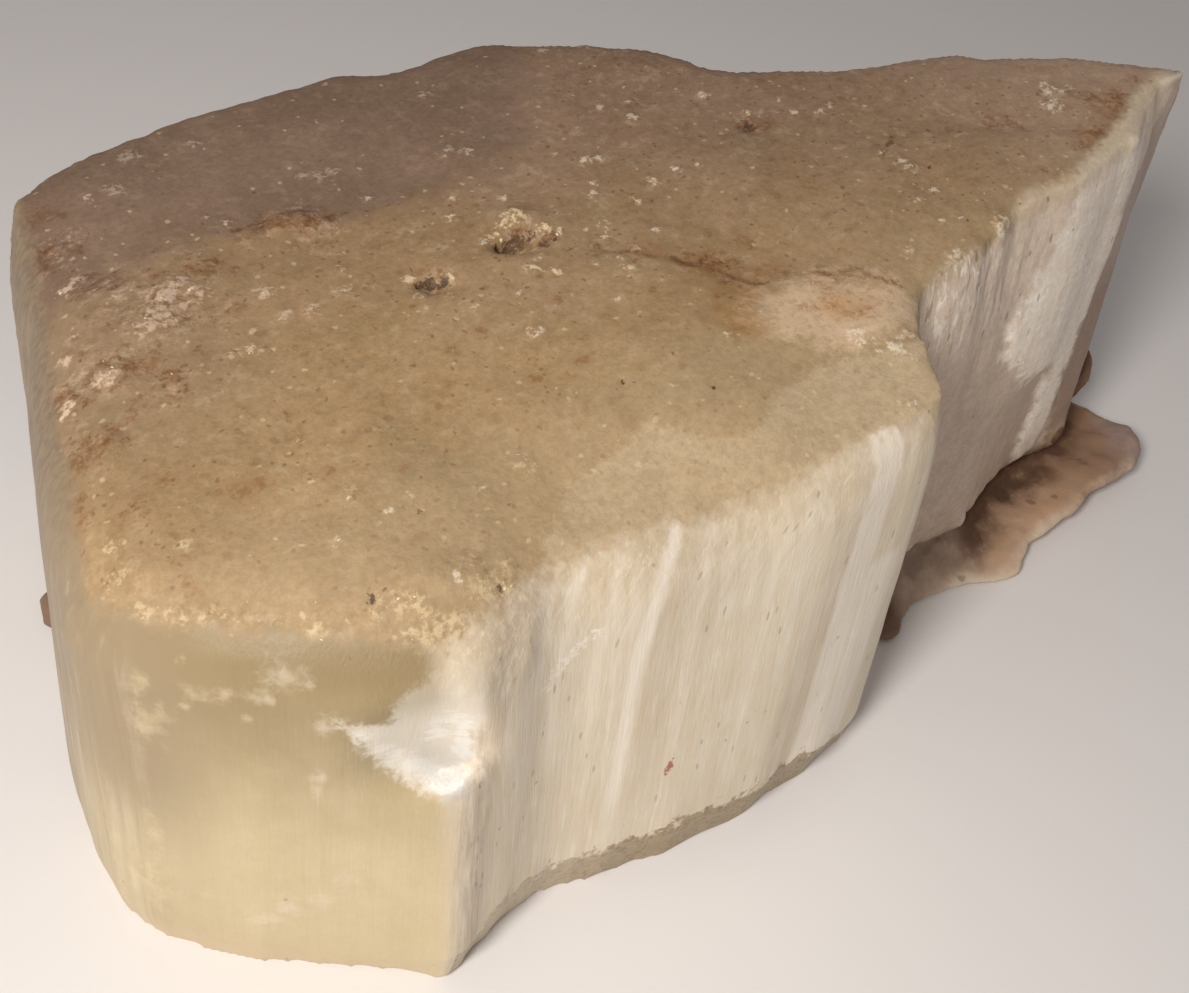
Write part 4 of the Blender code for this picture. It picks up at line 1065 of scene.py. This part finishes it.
def honeyColour(board, place, ink, wall):
    # the front's skin-coloured gypsum: darker and browner toward the rim, lighter and more orange along
    # the foot; partly its own colour, partly painted light for the floor's bounce and the glow through the
    # stone low down
    tone = wall.cloud * 0.15 + wall.strand * 0.1 + wall.patch * 0.15 + wall.fine * 0.1 + 0.1
    low = board.mixed(tone, ink["honey"], ink["honeyLight"])
    high = board.mixed(tone, ink["honeyTop"], ink["honeyTopLight"])
    honey = board.mixed((wall.depth + wall.cloud * 2 - 1).spread(1, 30), high, low)
    # Painted shade: the far left end, which the lamp lights most, is darkened toward the top.
    left = (wall.x * -1 + wall.cloud).spread(74.5, 82)
    honey = board.mixed(left * wall.depth.spread(34, 15, 0.2, 0.85), honey, ink["leftTan"])
    # Partly painted light: lighter and more orange along the foot.
    footGlowAndTint = wall.z.spread(7, 0) * wall.x.spread(-58, -76)
    honey = board.mixed(footGlowAndTint * 0.4, honey, ink["orange"])
    # Painted shade just under the rim at the far left.
    underRimShade = wall.depth.spread(4.0, 0.5) * wall.x.spread(-77, -70)
    honey = board.shaded(underRimShade * 0.35, honey, ink["rimShade"])
    back = (wall.y + wall.cloud * 4).spread(-20, 6)
    lines = board.noise(board.scaled(place, (1, 1, 0.05)), 0.8, 3, 0.6).spread(0.35, 0.65)
    backColour = board.mixed(lines * 0.6 + wall.patch * 0.2, ink["leftEdge"], ink["leftTan"])
    honey = board.mixed(back * 0.85, honey, backColour)
    edge = (wall.x * -1).spread(79.5, 83.5) * (wall.cloud * 0.5 + 0.2)
    honey = board.mixed(edge * wall.strand.spread(0.55, 1.0) * 0.35, honey, ink["chalk"])
    return board.mixed(edge * wall.strand.spread(0.4, 0.0) * 0.4, honey, ink["greyBrownLight"])


def fibreColour(board, place, ink, wall):
    leaning = wall.x - wall.z.spread(41, 59) * 8
    place = board.node("ShaderNodeCombineXYZ", leaning, wall.y, wall.z)
    hair = board.noise(board.scaled(place, (1, 1, 0.07)), 0.5, 3, 0.6).spread(0.3, 0.7)
    bundle = board.noise(board.scaled(place, (1, 1, 0.035)), 5.5, 2, 0.5).spread(0.35, 0.65)
    thread = board.noise(board.scaled(place, (1, 1, 0.06)), 0.55, 3, 0.6)
    tone = wall.strand * 0.2 + hair * 0.25 + bundle * 0.15 + wall.cloud * 0.2
    fibre = board.mixed(tone, ink["fibre"], ink["fibreWhite"])
    fibre = board.mixed(bundle.spread(0.6, 0.0) * 0.10, fibre, ink["fibreGrey"])
    fibre = board.mixed(board.painted("bands") * (0.65 + hair * 0.3), fibre, ink["band"])
    tinted = (wall.depth + wall.strand * 4 - 2.0).spread(8, -2)
    fibre = board.mixed(tinted * (1 - board.painted("bands") * 0.7) * 0.4, fibre, ink["cream"])
    streaks = board.painted("streaks") * thread.spread(0.46, 0.60, 0.2, 1.0)
    fibre = board.mixed(streaks * 0.4, fibre, ink["fibreGrey"])
    fibre = board.mixed(thread.spread(0.44, 0.30) * 0.35, fibre, ink["band"])
    near = board.shaken(board.scaled(place, (1, 1, 0.28)), 1.0, 0.2)
    dashes = board.flecks(near, 0.95, 0.16, 0.22)
    fibre = board.mixed(dashes * 0.35, fibre, ink["crust"])
    return board.mixed(board.flecks(near, 0.8, 0.45, 0.24) * streaks * 0.7, fibre, ink["crust"])


def flankColour(board, place, ink, wall):
    # The recess colour is partly painted shadow of the tip, and the slab's brighter colour partly painted
    # light where the flank is lit.
    recess = board.mixed(wall.patch * 0.5 + wall.fine * 0.25, ink["recess"], ink["recessLight"])
    recess = board.mixed(wall.depth.spread(24, 4) * 0.55, recess, ink["slabTan"])
    slab = (board.painted("slab") + wall.patch * 1.8 + wall.fine * 0.3 - 1.0).spread(-1.8, 1.6)
    tone = wall.patch * 0.5 + wall.fine * 0.3 + wall.strand * 0.2
    bright = board.mixed(tone, ink["slabTan"], ink["slabLight"])
    flank = board.mixed(slab * 0.9, recess, bright)
    flank = board.mixed(wall.depth.spread(3.5, 0) * 0.7, flank, ink["tanFront"])
    # Painted shade: past the ridge the flank turns away from the lamp and is mauve, with the crust's brown
    # low down.
    stripStart = wall.z.spread(50, 60) * 12 + wall.z.spread(26, 8) * 2.5
    mauve = (wall.x - stripStart + wall.patch * 2 - 1).spread(60.3, 63.3)
    flank = board.mixed(mauve * 0.75, flank, ink["mauve"])
    flank = board.mixed(mauve * wall.z.spread(44, 34) * 0.6, flank, ink["crust"])
    # Painted highlight on edges that stand out, and painted shade in hollows.
    paintedEdgeHighlight = board.painted("stand").spread(0.05, 0.4)
    flank = board.mixed(paintedEdgeHighlight * 0.35, flank, ink["slabLight"])
    paintedHollowShade = board.painted("stand").spread(-0.08, -0.45)
    flank = board.mixed(paintedHollowShade * 0.6, flank, ink["mauve"])
    near = board.shaken(board.scaled(place, (1, 1, 0.4)), 1.2, 0.3)
    slits = board.flecks(near, 1.9, 0.3, 0.18) * wall.depth.spread(26, 14)
    splinter = board.noise(board.scaled(place, (1, 1, 0.16)), 0.8, 3, 0.6)
    notch = wall.x.spread(36, 22) * wall.depth.spread(16, 8)
    flank = board.mixed(splinter.spread(0.55, 0.64) * notch * 0.6, flank, ink["slabLight"])
    flank = board.mixed(splinter.spread(0.42, 0.34) * notch * 0.55, flank, ink["crust"])
    pins = board.flecks(board.shaken(place, 1.0, 0.3), 2.2, 0.16, 0.12)
    flank = board.shaded(wall.fine.spread(0.1, 0.9), flank, ink["flankGlint"])
    return board.mixed(slits.most(pins) * 0.5, flank, ink["crustDark"])


def wallColour(board, place, ink):
    cloud = board.noise(place, 8, 4, 0.6).spread(0.35, 0.65)
    patch = board.noise(place, 2.6, 4, 0.65).spread(0.35, 0.65)
    fine = board.noise(place, 0.8, 4, 0.7).spread(0.3, 0.7)
    strand = board.noise(board.scaled(place, (1, 1, 0.035)), 1.3, 3, 0.6).spread(0.32, 0.68)
    x, y, z = board.axes(place)
    wall = SimpleNamespace(cloud=cloud, patch=patch, fine=fine, strand=strand, x=x, y=y, z=z,
                           depth=board.painted("depth"))
    honey = honeyColour(board, place, ink, wall)
    colour = board.mixed(board.painted("fibrous"), honey, fibreColour(board, place, ink, wall))
    colour = board.mixed(board.painted("flank"), colour, flankColour(board, place, ink, wall))
    pins = board.flecks(board.shaken(place, 1.0, 0.3), 2.4, 0.14, 0.12)
    colour = board.mixed(pins * 0.35, colour, ink["crust"])
    clouds = (board.painted("clouds") + fine * 0.4 + patch * 1.0 - 1.0).spread(-0.7, 1.3)
    cloudy = board.mixed(x.spread(-72, -78), ink["chalk"], ink["gold"])
    colour = board.mixed(clouds * 0.5, colour, cloudy)
    silk = (board.painted("silk") + fine * 0.7 + patch * 0.6 - 0.6).spread(-0.7, 0.7)
    layers = board.noise(board.scaled(place, (0.35, 0.35, 1.3)), 0.9, 3, 0.65).spread(0.3, 0.7)
    # The brightest patches are partly painted sheen on the satin fibre.
    shine = (board.painted("silkBright") + patch * 0.4 + layers * 1.1 - 0.7).spread(-0.45, 0.65)
    pearly = board.mixed(shine, ink["pearl"], ink["silk"])
    # Painted shade: the chip's lower part, which faces up into the lamp, is darkened.
    foot = z.spread(38.5, 34.5) * x.spread(-62, -59)
    pearly = board.shaded(foot, pearly, ink["chipShade"])
    colour = board.mixed(silk * z.spread(40, 48, 0.9, 0.25), colour, pearly)
    bevel = (board.painted("bevel") + patch * 2.4 + fine * 0.4 - 1.0).spread(-0.4, 0.8)
    bevel = bevel * x.spread(-52, -30, 0.5, 1.0)
    worn = board.mixed(patch * 0.5 + fine * 0.15, ink["honeyTop"], ink["cream"])
    colour = board.mixed(bevel * 0.9, colour, worn)
    colour = board.mixed(bevel * fine.spread(0.55, 0.8) * 0.5, colour, ink["crust"])
    crumbs = (board.painted("crumbs") + fine * 1.0 - 0.6).spread(0.0, 0.6)
    colour = board.mixed(crumbs * 0.85, colour, ink["band"])
    red = (board.painted("red") + fine * 1.2 - 0.6).spread(0.0, 0.5)
    return board.mixed(red * 0.8, colour, ink["red"])


def crustColour(board, place, ink):
    patch = board.noise(place, 4.0, 4, 0.65).spread(0.35, 0.65)
    fine = board.noise(place, 1.0, 4, 0.65).spread(0.3, 0.7)
    x = board.axes(place)[0]
    smooth = board.noise(place, 5.0, 1, 0.4).spread(0.3, 0.7)
    # Dark by the wall's foot and lighter outward: partly the crust's own colour, partly painted shade
    # under the wall's overhanging edge.
    outward = board.painted("outFrom") + smooth * 3 - 1.2
    colour = board.mixed(outward.spread(0.8, 6.0), ink["crust"], ink["crustLight"])
    colour = board.mixed(patch * fine * 0.6, colour, ink["paleCrust"])
    # Painted shadow of the tip: greyer over the crust's left part.
    colour = board.mixed(x.spread(44, 37) * 0.6, colour, ink["recess"])
    # Painted shade: darker toward the right end, in the flank's shadow, with a violet tint of shade at the
    # far outer edge.
    colour = board.mixed(x.spread(55, 75) * 0.65, colour, ink["crust"])
    violet = x.spread(70, 82) * outward.spread(5.0, 9.0)
    colour = board.mixed(violet * 0.5, colour, ink["violet"])
    # Painted shade, over the crust's own dark brown, right along the wall's foot.
    foot = outward.spread(2.4, 0.6) * x.spread(37, 44, 0.25, 0.85)
    colour = board.mixed(foot, colour, ink["crustDark"])
    colour = board.mixed(x.spread(26, 21) * 0.75, colour, ink["crustDark"])
    # Partly painted highlight on the lit edge of the lip.
    lip = (board.painted("lip") + smooth * 0.4 + fine * 0.2 - 0.3).spread(0.0, 0.9)
    colour = board.mixed(lip * 0.6, colour, ink["chalk"])
    spots = board.flecks(board.shaken(place, 1.5, 0.6), 3.4, 0.25, 0.24)
    return board.mixed(spots * 0.5, colour, ink["crustDark"])


def stoneFinish():
    board = Board("satinSparAndVeinWall")
    ink = stoneColours
    place = board.scaled(board.node("ShaderNodeTexCoord").output("Object"), (1000, 1000, 1000))
    fine = board.noise(place, 0.9, 4, 0.65)
    patch = board.noise(place, 3.0, 4, 0.6)
    strand = board.noise(board.scaled(place, (1, 1, 0.03)), 1.1, 2, 0.5)
    upright = board.painted("fibrous").most(board.painted("flank"))
    sharp = (board.painted("skin") + patch * 2.6 + fine * 0.8 - 1.7).spread(-0.7, 0.7)
    streaky = (board.painted("skin") + strand * 3 + patch + fine - 2.5).spread(-1.3, 0.9)
    skin = sharp * (1 - upright) + streaky * upright
    crust = board.painted("crust").spread(0.3, 0.7)
    colour = board.mixed(skin, wallColour(board, place, ink), topColour(board, place, ink))
    colour = board.mixed(crust, colour, crustColour(board, place, ink))
    hair = board.noise(board.scaled(place, (1, 1, 0.05)), 0.35, 3, 0.6)
    grit = board.noise(place, 0.35, 3, 0.6)
    matte = skin.most(crust)
    bumpy = matte * (fine * 0.9 + grit * 0.4) + (1 - matte) * (hair * 0.5 + strand * 0.5 + grit * 0.05)
    normal = board.node("ShaderNodeBump", Strength=0.6, Distance=0.00016, Height=bumpy)
    silk = board.painted("silk").spread(-0.2, 0.4)
    rough = 0.42 + matte * 0.34 - silk * 0.08 + fine * 0.08
    return board.finish(BaseColor=colour, Roughness=rough, Normal=normal, SubsurfaceWeight=0.22,
                        SubsurfaceRadius=(3.0 * mm, 2.1 * mm, 1.3 * mm), SubsurfaceScale=1.0,
                        SpecularIORLevel=0.4)


def grainFinish():
    board = Board("gypsumGrains")
    tone = board.painted("tone")
    ink = grainColours
    colour = board.mixed(tone.spread(0.1, 0.6), ink["brown"], ink["honey"])
    colour = board.mixed(tone.spread(0.8, 0.9), colour, ink["white"])
    return board.finish(BaseColor=colour, Roughness=0.6, SubsurfaceWeight=0.2,
                        SubsurfaceRadius=(1.0 * mm, 0.7 * mm, 0.4 * mm), SubsurfaceScale=1.0)


stone = makeStone()
evenFlank(stone)
softenFacets(stone)
markRegions(stone)
roughenStone(stone)
markHollows(stone)
grains = scatterGrains(stone)
flattenBase(stone)
for piece, finish in ((stone, stoneFinish()), (grains, grainFinish())):
    piece.data.materials.clear()
    piece.data.materials.append(finish)
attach(stone, "root")
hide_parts("satin_spar")
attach(grains, "root")
print("stone and grains finished")


# The studio: pale floor, one soft light from the camera's left, a dim even sky

studio = {
    "floorSize": 3.0, "floorColour": (0.86, 0.84, 0.83),
    "lightPlace": (-255, -124, 257), "lightSize": 0.09, "lightPower": 1.08,
    "lightColour": (1.0, 0.95, 0.90), "skyColour": (1.0, 0.93, 0.90), "skyStrength": 0.25,
}


def setStudio():
    bpy.ops.object.select_all(action="DESELECT")
    bpy.ops.mesh.primitive_plane_add(size=studio["floorSize"])
    floor = bpy.context.object
    floor.name = "studioFloor"
    board = Board("paleFloor")
    place = board.node("ShaderNodeTexCoord").output("Object")
    cloud = board.noise(place, 0.3, 2).spread(0.3, 0.7, 0.98, 1.0)
    colour = board.shaded(1.0, studio["floorColour"], cloud)
    floor.data.materials.append(board.finish(BaseColor=colour, Roughness=0.7))
    data = bpy.data.lights.new("softLight", "AREA")
    data.shape = "DISK"
    data.size = studio["lightSize"]
    data.energy = studio["lightPower"]
    data.color = studio["lightColour"]
    light = bpy.data.objects.new("softLight", data)
    bpy.context.scene.collection.objects.link(light)
    light.location = inRow(studio["lightPlace"])
    light.rotation_euler = (inRow((0, 0, 30)) - light.location).to_track_quat("-Z", "Y").to_euler()
    sky = bpy.data.worlds.new("studioSky")
    sky.use_nodes = True
    background = sky.node_tree.nodes["Background"]
    background.inputs["Color"].default_value = (*studio["skyColour"], 1)
    background.inputs["Strength"].default_value = studio["skyStrength"]
    bpy.context.scene.world = sky
    bpy.context.scene.view_settings.view_transform = "Standard"


setStudio()
print("studio set")
